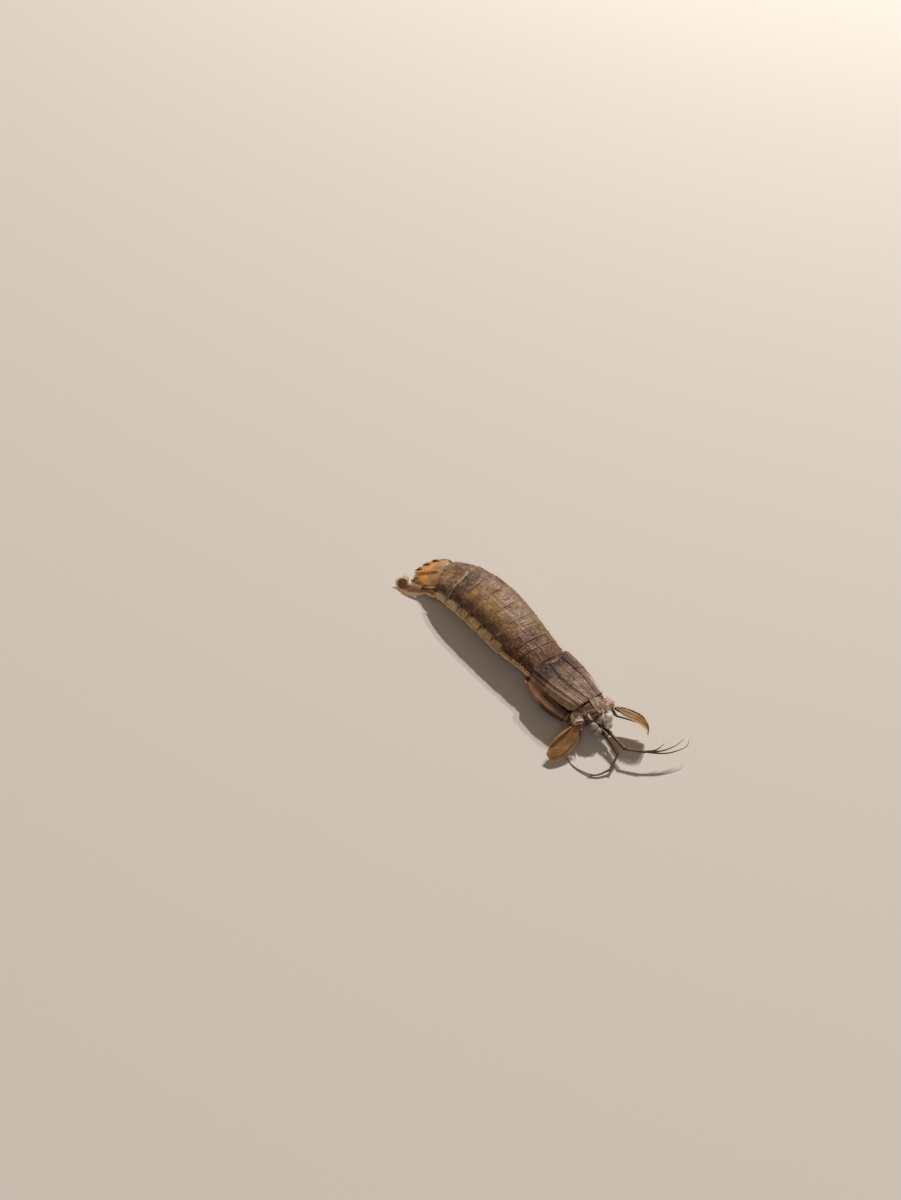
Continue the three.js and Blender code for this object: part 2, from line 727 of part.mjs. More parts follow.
// Maxillipeds: folded forward under the trunk, each ending in a small disc
for (const leg of MAXILLIPEDS) {
  for (const [side, y] of [['left', 1], ['right', -1]]) {
    const frame = bodyAt(leg.x);
    const base = place(frame, 0, y * leg.out, -TRUNK_BELLY - MAXILLIPED_HANG);
    const elbow = base.clone().add(vec(leg.reach * 0.55, y * 0.5, -leg.drop * 0.8));
    const tip = base.clone().add(vec(leg.reach * 0.75, y * 0.2, -leg.drop * 1.9));
    const stops = [
      [0, MAXILLIPED_RADIUS, MAXILLIPED_RADIUS],
      [0.5, MAXILLIPED_ELBOW_RADIUS, MAXILLIPED_ELBOW_RADIUS],
      [0.85, leg.disc * 0.6, HAND_THICK],
      [1, leg.disc * 0.35, HAND_TIP_THICK],
    ];
    const shape = limb([base, elbow, tip], stops, { sides: 6, steps: 6 });
    addPart(`maxilliped_${leg.number}_${side}`, shape, 'limb');
  }
}

// Walking legs: each bends out from the sternum and down to the floor
for (let n = 6; n <= 8; n += 1) {
  const front = JOINTS[n - 5];
  const hind = JOINTS[n - 4];
  const middle = bodyAt((front.at + hind.at) / 2);
  for (const [side, y] of [['left', 1], ['right', -1]]) {
    const hip = place(middle, 0, y * HIP_OUT, STERNUM_RISE - LEG_RADIUS - GAP);
    const knee = place(middle, -KNEE_BACK, y * KNEE_OUT, -KNEE_DROP);
    const foot = vec(hip.x - FOOT_BACK, hip.y + y * FOOT_OUT, FOOT_HEIGHT);
    const stops = [
      [0, LEG_RADIUS, LEG_RADIUS],
      [0.45, LEG_RADIUS * 0.85, LEG_RADIUS * 0.85],
      [1, FOOT_RADIUS, FOOT_RADIUS],
    ];
    const wide = vec(1, 0, 0);
    const shape = limb([hip, knee, foot], stops, { wide, sides: 6, steps: 6 });
    addPart(`walking_leg_${n}_${side}`, shape, 'limb');
  }
}

// Pleopods: broad flaps under the first five abdominal somites, folded back
for (let n = 1; n <= 5; n += 1) {
  const front = JOINTS[3 + n];
  const hind = JOINTS[4 + n];
  const frame = bodyAt(between(front.at, hind.at, PLEOPOD_PLACE));
  const slant = THREE.MathUtils.degToRad(PLEOPOD_SLANT);
  for (const [side, y] of [['left', 1], ['right', -1]]) {
    const base = place(frame, 0, y * PLEOPOD_OUT, STERNUM_RISE - PLEOPOD_HANG);
    const fall = frame.up.clone().multiplyScalar(-Math.sin(slant));
    const lie = fall.addScaledVector(frame.forward, -Math.cos(slant));
    const tip = base.clone().addScaledVector(lie, PLEOPOD_LENGTH);
    const stops = [
      [0, PLEOPOD_HALF * 0.55, PLEOPOD_THICK],
      [0.4, PLEOPOD_HALF, PLEOPOD_THICK * 0.85],
      [0.8, PLEOPOD_HALF * 0.9, PLEOPOD_THICK * 0.65],
      [1, PLEOPOD_HALF * 0.45, PLEOPOD_THICK * 0.5],
    ];
    const wide = frame.left;
    const shape = limb([base, tip], stops, { wide, sides: 8, steps: 5, round: false });
    addPart(`pleopod_${n}_${side}`, shape, 'pleopod');
  }
}

// Telson: a shield with a keel, steps in its sides where the marginal teeth stand, a notch behind
const telsonFrame = frameAt(
  vec(TELSON_FRAME.x, TELSON_FRAME.y, TELSON_FRAME.z),
  TELSON_FRAME.heading,
  TELSON_FRAME.climb,
  TELSON_FRAME.lean,
);
// Fraction of the length, share of the full half width there
const TELSON_STOPS = [
  [0.0, 0.8],
  [0.12, 0.96],
  [0.3, 1.0],
  [0.5, 0.93],
  [0.58, 0.97],
  [0.6, 0.84],
  [0.76, 0.74],
  [0.8, 0.62],
  [0.97, 0.42],
];
const telsonRings = TELSON_STOPS.map(([t, wide]) => {
  const half = TELSON_HALF * wide;
  const crown = TELSON_CROWN * (1 - TELSON_CROWN_FALL * t);
  const outline = [];
  for (let k = 0; k <= 8; k += 1) {
    const u = between(-1, 1, k / 8);
    const keel = k === 4 ? TELSON_KEEL * Math.sin(Math.PI * Math.min(t + 0.1, 1)) : 0;
    outline.push([half * u, TELSON_RIM + crown * (1 - u * u) + keel]);
  }
  [0.6, 0, -0.6].forEach((u) => {
    outline.push([half * u, crown * 0.4 * (1 - u * u) - TELSON_UNDER]);
  });
  return outline.map(([across, above]) => {
    const share = Math.max(0, 1 - Math.abs(across) / TELSON_NOTCH_HALF);
    const notch = t > 0.9 ? TELSON_NOTCH * share : 0;
    return place(telsonFrame, -TELSON_LENGTH * t + notch, across, above);
  });
});
addPart('telson', loft(telsonRings), 'telson');

// Uropods: base with a forked spine, two-jointed outer blade and plain inner blade
for (const [side, fan] of Object.entries(UROPODS)) {
  const baseStops = [
    [0, UROPOD_BASE_HALF * 0.67, UROPOD_BASE_TALL * 0.85],
    [0.5, UROPOD_BASE_HALF, UROPOD_BASE_TALL],
    [1, UROPOD_BASE_HALF * 0.71, UROPOD_BASE_TALL * 0.77],
  ];
  const [hip, wrist] = chain(fan.base, fan.protopod);
  const forkStops = [
    [0, FORK_HALF, FORK_THICK],
    [0.6, FORK_HALF * 0.67, FORK_THICK * 0.75],
    [1, FORK_HALF * 0.25, FORK_THICK * 0.47],
  ];
  const spineRoot = hip.clone().lerp(wrist, 0.6).toArray();
  const spines = fan.fork.map((spine) =>
    limb(chain(spineRoot, spine), forkStops, { sides: 6, steps: 4, round: false }),
  );
  const base = limb([hip, wrist], baseStops, { steps: 3, round: false });
  addPart(`uropod_base_${side}`, join([base, ...spines]), 'uropod');
  const shoulder = wrist.clone().add(vec(...fan.exopodFrom));
  const exopodStops = [
    [0, EXOPOD_HALF * 0.42, BLADE_THICK * 1.6],
    [0.3, EXOPOD_HALF * 0.8, BLADE_THICK * 1.5],
    [0.55, EXOPOD_HALF * 0.85, BLADE_THICK * 1.3],
    [0.62, EXOPOD_HALF * 0.66, BLADE_THICK],
    [0.82, EXOPOD_HALF, BLADE_THICK],
    [1, EXOPOD_HALF * 0.4, BLADE_THICK * 0.7],
  ];
  const wide = vec(...fan.bladeWide);
  const exopod = limb(chain(shoulder.toArray(), fan.exopod), exopodStops, { wide, sides: 8, steps: 11 });
  addPart(`uropod_exopod_${side}`, exopod, 'uropod');
  const endopodStops = [
    [0, ENDOPOD_HALF * 0.45, BLADE_THICK * 1.2],
    [0.55, ENDOPOD_HALF, BLADE_THICK],
    [1, ENDOPOD_HALF * 0.4, BLADE_THICK * 0.7],
  ];
  const knuckle = wrist.clone().add(vec(...fan.endopodFrom));
  const endopodPoints = chain(knuckle.toArray(), fan.endopod);
  const endopod = limb(endopodPoints, endopodStops, { sides: 8, steps: 6, round: false });
  addPart(`uropod_endopod_${side}`, endopod, 'uropod');
}

export default root;
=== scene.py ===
import math

import bpy
import numpy as np
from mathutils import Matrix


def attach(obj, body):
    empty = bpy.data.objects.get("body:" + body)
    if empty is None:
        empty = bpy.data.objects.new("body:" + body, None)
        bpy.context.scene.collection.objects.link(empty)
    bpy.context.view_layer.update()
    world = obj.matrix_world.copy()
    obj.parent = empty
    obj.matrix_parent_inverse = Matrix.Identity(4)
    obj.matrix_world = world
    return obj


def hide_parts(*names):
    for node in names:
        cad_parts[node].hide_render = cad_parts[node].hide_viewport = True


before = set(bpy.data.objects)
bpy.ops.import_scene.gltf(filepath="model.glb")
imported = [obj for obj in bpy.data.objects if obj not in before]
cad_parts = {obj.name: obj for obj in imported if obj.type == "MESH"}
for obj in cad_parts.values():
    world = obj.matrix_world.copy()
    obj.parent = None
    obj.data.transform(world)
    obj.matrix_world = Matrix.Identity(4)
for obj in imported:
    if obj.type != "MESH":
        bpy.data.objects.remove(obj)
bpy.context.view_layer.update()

# Abdomen and free thorax: nine rings of dry shell behind the carapace. Each is an arched plate
# with lengthwise keels, side lobes with a pale rim and a thin floor, and its hind rim laps over
# the smooth front band of the next ring.
MM = 0.001
WAIST = np.array([12.68, 6.42, 0.0])
WAIST_HEIGHT = 9.5
# distance in front of the waist, heading, climb and lean in degrees, half width, crown
JOINTS = np.array([
    [-75.4, 12.1, 21.2, 7.1, 11.9, 6.8],
    [-64.7, 7.5, 5.8, 4.8, 14.1, 8.2],
    [-55.3, 2.4, -0.7, 2.9, 15.0, 9.0],
    [-46.5, -2.6, -1.1, 1.1, 15.3, 9.4],
    [-36.7, -5.7, -4.4, -0.9, 15.3, 9.4],
    [-27.4, -7.8, -3.5, -2.8, 14.9, 9.2],
    [-19.7, -7.8, 0.9, -4.4, 14.2, 8.9],
    [-12.8, -7.6, 3.6, -5.8, 13.2, 8.4],
    [-7.6, -7.2, 4.1, -6.8, 12.4, 7.9],
    [0.0, -5.4, 4.0, -8.4, 14.2, 7.4],
    [27.8, -2.6, 0.1, -14.0, 9.9, 5.6],
])
# how square the arch is, the share of a ring's girth that its top takes, a usual half width and crown
ARCH, TOP_SHARE = 0.75, 0.68
SHELL_HALF, SHELL_CROWN = 14.5, 9.0
SEED = 7
TURN = 2 * np.pi


def vec(*values):
    return np.array(values, float)


def unit(vector):
    return vector / np.maximum(np.linalg.norm(vector, axis=-1, keepdims=True), 1e-9)


def direction(heading, climb):
    yaw, pitch = np.radians(heading), np.radians(climb)
    return np.stack([np.cos(yaw) * np.cos(pitch), np.sin(yaw) * np.cos(pitch), np.sin(pitch)], -1)


def step(low, high, x):
    """0 up to low and 1 from high on, with a rounded rise between."""
    t = np.clip((x - low) / (high - low), 0, 1)
    return t * t * (3 - 2 * t)


def ridge(x, at, width):
    """A rounded bump, 1 high, at a place."""
    return np.exp(-(((x - at) / width) ** 2))


def faded(u, near, far):
    """1 along a piece, falling to 0 over a share of it at each end."""
    return step(0, near, u) * step(0, far, 1 - u)


def held(x, most=1):
    return np.clip(x, 0, most)


def squared(c, power):
    """A cosine or sine pulled out towards a square."""
    return np.sign(c) * np.abs(c) ** power


def cloud(x, y, seed, octaves=3):
    """Smooth irregular blotches between -1 and 1, the same on every run."""
    total, gain = 0.0, 0.57
    x, y = np.broadcast_arrays(np.asarray(x, float), np.asarray(y, float))
    for n in range(octaves):
        table = np.random.default_rng(SEED * 1000 + seed * 10 + n).uniform(-1, 1, (64, 64))
        left, low = np.floor(x).astype(int), np.floor(y).astype(int)
        a, b = x - left, y - low
        a, b = a * a * (3 - 2 * a), b * b * (3 - 2 * b)
        near = table[left % 64, low % 64] * (1 - a) + table[(left + 1) % 64, low % 64] * a
        far = table[left % 64, (low + 1) % 64] * (1 - a) + table[(left + 1) % 64, (low + 1) % 64] * a
        total += gain * (near * (1 - b) + far * b)
        x, y, gain = x * 2.07 + 11.3, y * 2.07 + 5.9, gain * 0.5
    return total


def ink(red, green, blue, spots=0.0):
    """A colour as the eye sees it, 0 to 255, turned to light values, and how spotted it is."""
    c = np.array([red, green, blue]) / 255
    return np.append(np.where(c <= 0.04045, c / 12.92, ((c + 0.055) / 1.055) ** 2.4), spots)


def mix(a, b, t):
    return a + (b - a) * np.asarray(t)[..., None]


def frame_of(heading, climb, lean):
    forward = direction(heading, climb)
    level = direction(heading + 90, np.zeros_like(np.asarray(heading, float)))
    top = np.cross(forward, level)
    roll = np.radians(lean)
    cos, sin = np.cos(roll)[..., None], np.sin(roll)[..., None]
    return forward, level * cos + top * sin, top * cos - level * sin


def joint_places():
    """The point of the body axis at each joint, worked out from the waist both ways."""
    waist = 9
    places = {waist: vec(0, 0, WAIST_HEIGHT)}
    for a, b in [(i, i - 1) for i in range(waist, 0, -1)] + [(waist, waist + 1)]:
        mean = (JOINTS[a] + JOINTS[b]) / 2
        places[b] = places[a] + direction(mean[1], mean[2]) * (JOINTS[b, 0] - JOINTS[a, 0])
    return np.array([places[i] for i in range(len(JOINTS))])


PLACES = joint_places()


def body_at(s):
    """Origin, directions and shell size of the body axis at a distance in front of the waist."""
    s = np.asarray(s, float)
    inside = np.clip(s, JOINTS[0, 0], JOINTS[-1, 0])
    heading, climb, lean, half, crown = (np.interp(inside, JOINTS[:, 0], JOINTS[:, n]) for n in range(1, 6))
    near = np.clip(np.searchsorted(JOINTS[:, 0], inside) - 1, 0, len(JOINTS) - 2)
    start = np.where(inside >= 0, near, near + 1)
    mean_heading = (JOINTS[start, 1] + heading) / 2
    mean_climb = (JOINTS[start, 2] + climb) / 2
    origin = PLACES[start] + direction(mean_heading, mean_climb) * (inside - JOINTS[start, 0])[..., None]
    forward, left, up = frame_of(heading, climb, lean)
    origin = origin + forward * (s - inside)[..., None]
    return origin, forward, left, up, half, crown


def put(frame_parts, along, across, above):
    origin, forward, left, up = frame_parts
    along, across, above = np.broadcast_arrays(along, across, above)
    return origin + forward * along[..., None] + left * across[..., None] + up * above[..., None]


def arch_table():
    a = np.linspace(np.pi, 0, 4001)
    x, z = squared(np.cos(a), ARCH), np.abs(np.sin(a)) ** ARCH
    run = np.append(0, np.cumsum(np.hypot(np.diff(x) * SHELL_HALF, np.diff(z) * SHELL_CROWN)))
    return run / run[-1], x, z


ARCH_RUN, ARCH_X, ARCH_Z = arch_table()


def arch(k):
    """Across and above, as shares, from the right edge at 0 over the crown to the left edge at 1."""
    return np.interp(k, ARCH_RUN, ARCH_X), np.interp(k, ARCH_RUN, ARCH_Z)


def girth_of(x, z):
    """Roughly how far round the shell from its crown a place on the arch lies, in mm."""
    return x * 9 + np.where(x > 0, 1, -1) * (1 - z) * 9


def outward(points):
    """The outward direction at each point of a grid that wraps round."""
    along = np.gradient(points, axis=0)
    ring = points[:, :-1]
    across = np.roll(ring, -1, 1) - np.roll(ring, 1, 1)
    across = np.concatenate([across, across[:, :1]], 1)
    normal = unit(np.cross(along, across))
    if ((points - ring.mean(1, keepdims=True)) * normal).sum() < 0:
        normal = -normal
    return normal


def select_only(piece):
    bpy.ops.object.select_all(action="DESELECT")
    piece.select_set(True)
    bpy.context.view_layer.objects.active = piece


def skin(name, rows, columns, form, relief, colour, ends=True):
    """A grid wrapped round into a closed skin. form gives its points from the shares along and
    round, relief lifts them off it, colour tints them, and ends closes it with a point each end."""
    u, v = np.meshgrid(np.linspace(0, 1, rows + 1), np.linspace(0, 1, columns + 1), indexing="ij")
    points = form(u, v)
    if relief is not None:
        points = points + outward(points) * relief(u, v)[..., None]
    points[..., 2] = np.maximum(points[..., 2], 0)
    tint = colour(u, v)
    if ends:
        caps = [np.repeat(points[i : i + 1].mean(1, keepdims=True), columns + 1, 1) for i in (0, rows)]
        points = np.concatenate([caps[0], points, caps[1]])
        tint = np.concatenate([tint[:1], tint, tint[-1:]])
    down, over = points.shape[0] - 1, columns
    bpy.ops.object.select_all(action="DESELECT")
    bpy.ops.mesh.primitive_grid_add(x_subdivisions=down, y_subdivisions=over, size=2)
    piece = bpy.context.object
    piece.name = piece.data.name = name
    mesh = piece.data
    flat = np.empty(len(mesh.vertices) * 3)
    mesh.vertices.foreach_get("co", flat)
    flat = flat.reshape(-1, 3)
    i = np.rint((flat[:, 0] + 1) / 2 * down).astype(int)
    j = np.rint((flat[:, 1] + 1) / 2 * over).astype(int)
    mesh.vertices.foreach_set("co", ((points[i, j] + WAIST) * MM).ravel())
    for layer in list(mesh.uv_layers):
        mesh.uv_layers.remove(layer)
    colours = mesh.color_attributes.new("tint", "FLOAT_COLOR", "POINT")
    colours.data.foreach_set("color", held(tint[i, j]).ravel())
    bpy.ops.object.mode_set(mode="EDIT")
    bpy.ops.mesh.select_all(action="SELECT")
    bpy.ops.mesh.remove_doubles(threshold=1e-6)
    bpy.ops.mesh.normals_make_consistent(inside=False)
    bpy.ops.object.mode_set(mode="OBJECT")
    return piece


def rounded(h, width, start, leaving, end, arriving):
    """A smooth curve's value, the share h of the way from one stop to the next, from both slopes."""
    return (
        (2 * h**3 - 3 * h**2 + 1) * start
        + (h**3 - 2 * h**2 + h) * width * leaving
        + (3 * h**2 - 2 * h**3) * end
        + (h**3 - h**2) * width * arriving
    )


def smooth_points(points, count):
    """A rounded line through the points, at even steps."""
    points = np.array(points, float)
    if len(points) == 2:
        return points[0] + (points[1] - points[0]) * np.linspace(0, 1, count)[:, None]
    t = np.append(0, np.cumsum(np.linalg.norm(np.diff(points, axis=0), axis=1) ** 0.5))
    slope = np.gradient(points, t, axis=0)
    fine = np.linspace(0, t[-1], count * 4)
    n = np.clip(np.searchsorted(t, fine, side="right") - 1, 0, len(t) - 2)
    width = (t[n + 1] - t[n])[:, None]
    h = (fine[:, None] - t[n][:, None]) / width
    line = rounded(h, width, points[n], slope[n], points[n + 1], slope[n + 1])
    run = np.append(0, np.cumsum(np.linalg.norm(np.diff(line, axis=0), axis=1)))
    even = np.linspace(0, run[-1], count)
    return np.stack([np.interp(even, run, line[:, c]) for c in range(3)], -1)


def eased(stops, x):
    """Values at x on a rounded curve through the stops, without overshoot."""
    t, y = stops[:, 0], stops[:, 1:]
    width = np.diff(t)[:, None]
    rise = np.diff(y, axis=0) / width
    slope = np.zeros_like(y)
    slope[0], slope[-1] = rise[0], rise[-1]
    same = rise[:-1] * rise[1:] > 0
    total = np.where(same, rise[:-1] + rise[1:], 1)
    slope[1:-1] = np.where(same, 2 * rise[:-1] * rise[1:] / total, 0)
    n = np.clip(np.searchsorted(t, x, side="right") - 1, 0, len(t) - 2)
    h = ((x - t[n]) / (t[n + 1] - t[n]))[:, None]
    return rounded(h, width[n], y[n], slope[n], y[n + 1], slope[n + 1])


def sized(half, thick, *stops):
    """A limb's stops from shares of its greatest half width and half thickness."""
    return [[at, half * wide, thick * deep] for at, wide, deep in stops]


def round_stops(radius, *stops):
    return sized(radius, radius, *((at, share, share) for at, share in stops))


def chain(base, segments):
    """Joint points from a base on, by each segment's length, heading and climb."""
    points = [np.array(base, float)]
    for length, heading, climb in segments:
        points.append(points[-1] + direction(heading, climb) * length)
    return points


class Limb:
    """A limb's middle line with its directions and its half width and half thickness."""

    def __init__(self, points, stops, wide=None, count=240):
        self.line = smooth_points(points, count)
        self.tangent = unit(np.gradient(self.line, axis=0))
        t = self.tangent
        level = np.stack([-t[:, 1], t[:, 0], np.zeros(count)], -1)
        side = level if wide is None else np.broadcast_to(np.array(wide, float), t.shape)
        self.across = unit(side - t * (side * t).sum(1, keepdims=True))
        self.normal = np.cross(t, self.across)
        self.share = np.linspace(0, 1, count)
        self.size = eased(np.array(stops, float), self.share)

    def at(self, u):
        parts = [self.line, self.tangent, self.across, self.normal, self.size]
        return [np.stack([np.interp(u, self.share, column) for column in part.T], -1) for part in parts]

    def spot(self, u):
        """The point, the directions along and across, and the half width at one share."""
        line, tangent, across, _, size = (part[0] for part in self.at(np.array([u])))
        return line, tangent, across, size[0]

    def form(self, u, v):
        line, _, across, normal, size = self.at(u)
        turn = TURN * v[..., None]
        return line + across * size[..., :1] * np.cos(turn) + normal * size[..., 1:] * np.sin(turn)


def limb(name, points, stops, colour, relief=None, wide=None, rows=24, columns=14):
    return skin(name, rows, columns, Limb(points, stops, wide).form, relief, colour)


def plain(tone):
    return lambda u, v: np.broadcast_to(tone, u.shape + (4,))


def joined(name, pieces):
    select_only(pieces[0])
    for piece in pieces[1:]:
        piece.select_set(True)
    bpy.ops.object.join()
    whole = bpy.context.object
    whole.name = whole.data.name = name
    return whole


def thorn(root, toward, length, radius, tone, tip_tone):
    end = np.array(root) + unit(np.array(toward, float)) * length
    return limb(
        "thorn",
        [root, (np.array(root) + end) / 2, end],
        [*round_stops(radius, (0, 1), (0.4, 0.72)), [1, 0.06, 0.06]],
        lambda u, v: mix(tone, tip_tone, step(0.3, 0.9, u)),
        rows=6,
        columns=8,
    )


def finish(piece, nodes, material, sharp=38):
    """Shades the piece, gives it its finish and puts it in the place of its nodes."""
    select_only(piece)
    bpy.ops.object.shade_smooth_by_angle(angle=math.radians(sharp))
    piece.data.materials.clear()
    piece.data.materials.append(material)
    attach(piece, "root")
    if nodes:
        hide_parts(*nodes)


SPOT_BROWN, POWDER_GREY = (0.045, 0.028, 0.022, 1), (0.47, 0.43, 0.38, 1)


def shell_finish(name, rough=0.45, mottle=0.25, grain=0.1, pits=0.15, glow=0.08, coat=0.12, powder=0.0):
    """Dry crustacean shell: tint from the mesh, cloudy mottling, dark spots, fine pits, thin sheen."""
    material = bpy.data.materials.new(name)
    material.use_nodes = True
    nodes, links = material.node_tree.nodes, material.node_tree.links

    def feed(node, inputs):
        for socket, value in inputs.items():
            if isinstance(value, bpy.types.NodeSocket):
                links.new(value, node.inputs[socket])
            else:
                node.inputs[socket].default_value = value

    def add(kind, inputs, **settings):
        node = nodes.new("ShaderNode" + kind)
        for key, value in settings.items():
            setattr(node, key, value)
        feed(node, inputs)
        return node.outputs

    def noise(scale, detail, roughness=0.6):
        inputs = {"Vector": place, "Scale": scale, "Detail": detail, "Roughness": roughness}
        return add("TexNoise", inputs)["Fac"]

    def ranged(value, low, high, to_low, to_high):
        inputs = dict(enumerate((value, low, high, to_low, to_high)))
        return add("MapRange", inputs, interpolation_type="SMOOTHSTEP")[0]

    def times(a, b):
        return add("Math", {0: a, 1: b}, operation="MULTIPLY")[0]

    def blended(kind, factor, a, b):
        return add("Mix", {0: factor, 6: a, 7: b}, data_type="RGBA", blend_type=kind)[2]

    place = add("TexCoord", {})["Object"]
    tint = add("Attribute", {}, attribute_name="tint")
    clouds = ranged(noise(260, 5), 0.32, 0.68, 1 - mottle, 1 + mottle)
    streaks = ranged(noise(1400, 3), 0.3, 0.7, 1 - mottle * 0.6, 1 + mottle * 0.6)
    level = times(clouds, streaks)
    grey = add("CombineColor", {0: level, 1: level, 2: level})[0]
    colour = blended("MULTIPLY", 1.0, tint["Color"], grey)
    cells = add("TexVoronoi", {"Vector": place, "Scale": 1500})["Distance"]
    spot, patch = ranged(cells, 0.18, 0.42, 1.0, 0.0), ranged(noise(420, 3), 0.42, 0.6, 0.0, 1.0)
    colour = blended("MIX", times(times(spot, patch), tint["Alpha"]), colour, SPOT_BROWN)
    if powder:
        dust = ranged(noise(2600, 4, 0.7), 0.5, 0.72, 0.0, powder)
        colour = blended("MIX", dust, colour, POWDER_GREY)
    rough_grain, pit = times(noise(3200, 5, 0.65), grain), times(ranged(cells, 0.0, 0.35, 0.0, 1.0), pits)
    height = add("Math", {0: rough_grain, 1: pit}, operation="ADD")[0]
    feed(nodes["Principled BSDF"], {
        "Base Color": colour,
        "Roughness": ranged(noise(700, 4), 0.3, 0.7, rough - 0.1, rough + 0.12),
        "Subsurface Weight": glow,
        "Subsurface Radius": (0.0012, 0.0007, 0.0004),
        "Specular IOR Level": 0.22,
        "Coat Weight": coat,
        "Coat Roughness": 0.35,
        "Normal": add("Bump", {"Strength": 0.5, "Distance": 0.0003, "Height": height})["Normal"],
    })
    return material


abdomen_finish = shell_finish("abdomen_shell", rough=0.5, mottle=0.24, glow=0.14, coat=0.08)
thorax_finish = shell_finish("thorax_shell", rough=0.56, mottle=0.3, coat=0.05)

# floor of a ring from the left edge to the right: share of the half width, height in mm
FLOOR = np.array([
    [1.0, 0.0], [0.985, -0.2], [0.945, -0.1], [0.9, 0.7], [0.86, 1.5], [0.66, 1.8], [0.34, 1.45],
    [0.0, 1.3],
])
FLOOR = np.concatenate([FLOOR, FLOOR[-2::-1] * [-1, 1]])
FLOOR_RUN = np.append(0, np.cumsum(np.hypot(np.diff(FLOOR[:, 0]) * SHELL_HALF, np.diff(FLOOR[:, 1]))))
FLOOR_RUN /= FLOOR_RUN[-1]
# the keels' places across, and how far a ring runs under the one in front and over the one behind
KEELS = [0.10, 0.38, 0.66]
TUCK, LAP = 0.9, 0.3


def ring_section(v):
    """Across share, height share on the arch, height in mm off it, and how near the edge."""
    x, z = arch(held(v / TOP_SHARE))
    j = held((v - TOP_SHARE) / (1 - TOP_SHARE))
    under = v > TOP_SHARE
    x = np.where(under, np.interp(j, FLOOR_RUN, FLOOR[:, 0]), x)
    sunk = np.where(under, np.interp(j, FLOOR_RUN, FLOOR[:, 1]), 0)
    z = np.where(under, 0, z)
    edge = np.where(under, step(0.84, 0.95, np.abs(x)), 1 - step(0.05, 0.5, z))
    return x, z, sunk, edge


class Ring:
    """One ring's shape behind a joint of the body axis. start is its own half width and crown in
    front, where they differ from the axis's."""

    def __init__(self, joint, lobe, keel, start=None):
        self.front, self.hind = JOINTS[joint], JOINTS[joint - 1]
        self.lobe, self.keel, self.start = lobe, keel, start
        self.length = self.front[0] - self.hind[0]

    def station(self, u):
        return self.front[0] + TUCK - u * (self.length + TUCK + LAP)

    def form(self, u, v):
        s = self.station(u)
        x, z, sunk, edge = ring_section(v)
        seen = held((self.front[0] - s) / self.length)
        *place, half, crown = body_at(s)
        if self.start:
            half, crown = (a + (b - a) * seen for a, b in zip(self.start, self.hind[4:]))
        hang = step(-0.02, 0.16, seen) - 0.45 * step(0.84, 1.0, seen)
        drop = self.lobe * (hang - 0.45)
        back = 0.75 * self.lobe * edge * step(0.5, 1.0, seen)
        flare = 1 + 0.035 * edge * step(0.05, 0.3, seen)
        return put(place, -back, half * x * flare, crown * z + sunk - drop * edge)

    def relief(self, u, v):
        s = self.station(u)
        x, z, _, edge = ring_section(v)
        top = (v <= TOP_SHARE) * 1.0
        behind, ahead = self.front[0] - s, s - self.hind[0]
        girth = girth_of(x, z)
        grown = step(1.3, 2.6, behind) * (0.7 + 0.4 * step(3, 0, ahead))
        wander = 0.012 * cloud(behind * 0.7, self.front[0], 1)
        keels = sum(ridge(np.abs(x) + wander, at, 0.016) for at in KEELS)
        swell = self.lobe * ridge(z, 0.28, 0.18) * step(1.0, 2.0, behind) * step(0, 1.0, ahead)
        lift = -0.26 + 0.26 * step(0.6, 1.0, behind)
        lift += 0.05 * ridge(ahead, 0.15, 0.3) - 0.08 * ridge(ahead, 0.75, 0.22)
        lift += top * self.keel * grown * keels
        lift -= top * 0.34 * ridge(z, 0.54, 0.035) * step(0.6, 1.6, behind)
        lift += top * (0.35 * swell + 0.16 * (1 - step(0.02, 0.09, z)))
        lift += top * 0.36 * cloud(girth * 0.23, s * 0.23, 2, 2) * (1 - edge)
        lift += top * 0.13 * cloud(girth * 0.8, s * 0.9, 3, 3)
        ribs = 0.14 * np.sin(behind * 5.0 + x * 9) * step(0.0, 1.5, ahead) * (1 - top) * (1 - edge)
        return lift + ribs

    def top_point(self, u, x_share):
        """The point at a share across the top, and the body's three directions there."""
        turn = np.interp(x_share, ARCH_X, ARCH_RUN) * TOP_SHARE
        point = self.form(np.full((1, 1), u), np.full((1, 1), turn))[0, 0]
        return point, body_at(self.station(u))[1:4]


TAN, ROSY, GOLD = ink(148, 114, 72, 0.35), ink(142, 112, 84, 0.4), ink(178, 136, 80, 0.15)
DUSK, PLUM, BLACK = ink(92, 72, 66, 1.0), ink(90, 65, 58, 0.8), ink(34, 22, 18, 0.3)
# OLIVE, the side lobes' tint, is raised well above their own colour: painted light on the flank that the
# lamps leave in shade.
OLIVE, RIM, HORN = ink(208, 174, 128, 0.3), ink(230, 206, 166, 0.0), ink(206, 170, 126, 0.0)
RUST, BARK, FROST = ink(120, 76, 42, 0.5), ink(78, 46, 28, 0.7), ink(176, 152, 130, 0.3)
# by ring: how dusky, how golden, and how far out its hind spines stand
DUSKS = {1: 0.3, 2: 0.26, 3: 0.15, 4: 0.16, 5: 1.0, 6: 0.3}
GOLDS = {1: 0.5, 2: 0.6, 3: 0.95, 4: 0.95, 5: 0.75, 6: 0.1}
SPINES = {1: [0.93], 2: [0.93], 3: [0.93], 4: [0.62, 0.93], 5: [0.36, 0.62, 0.93], 6: [0.12, 0.4, 0.68]}
RUSTY_FROM = -30


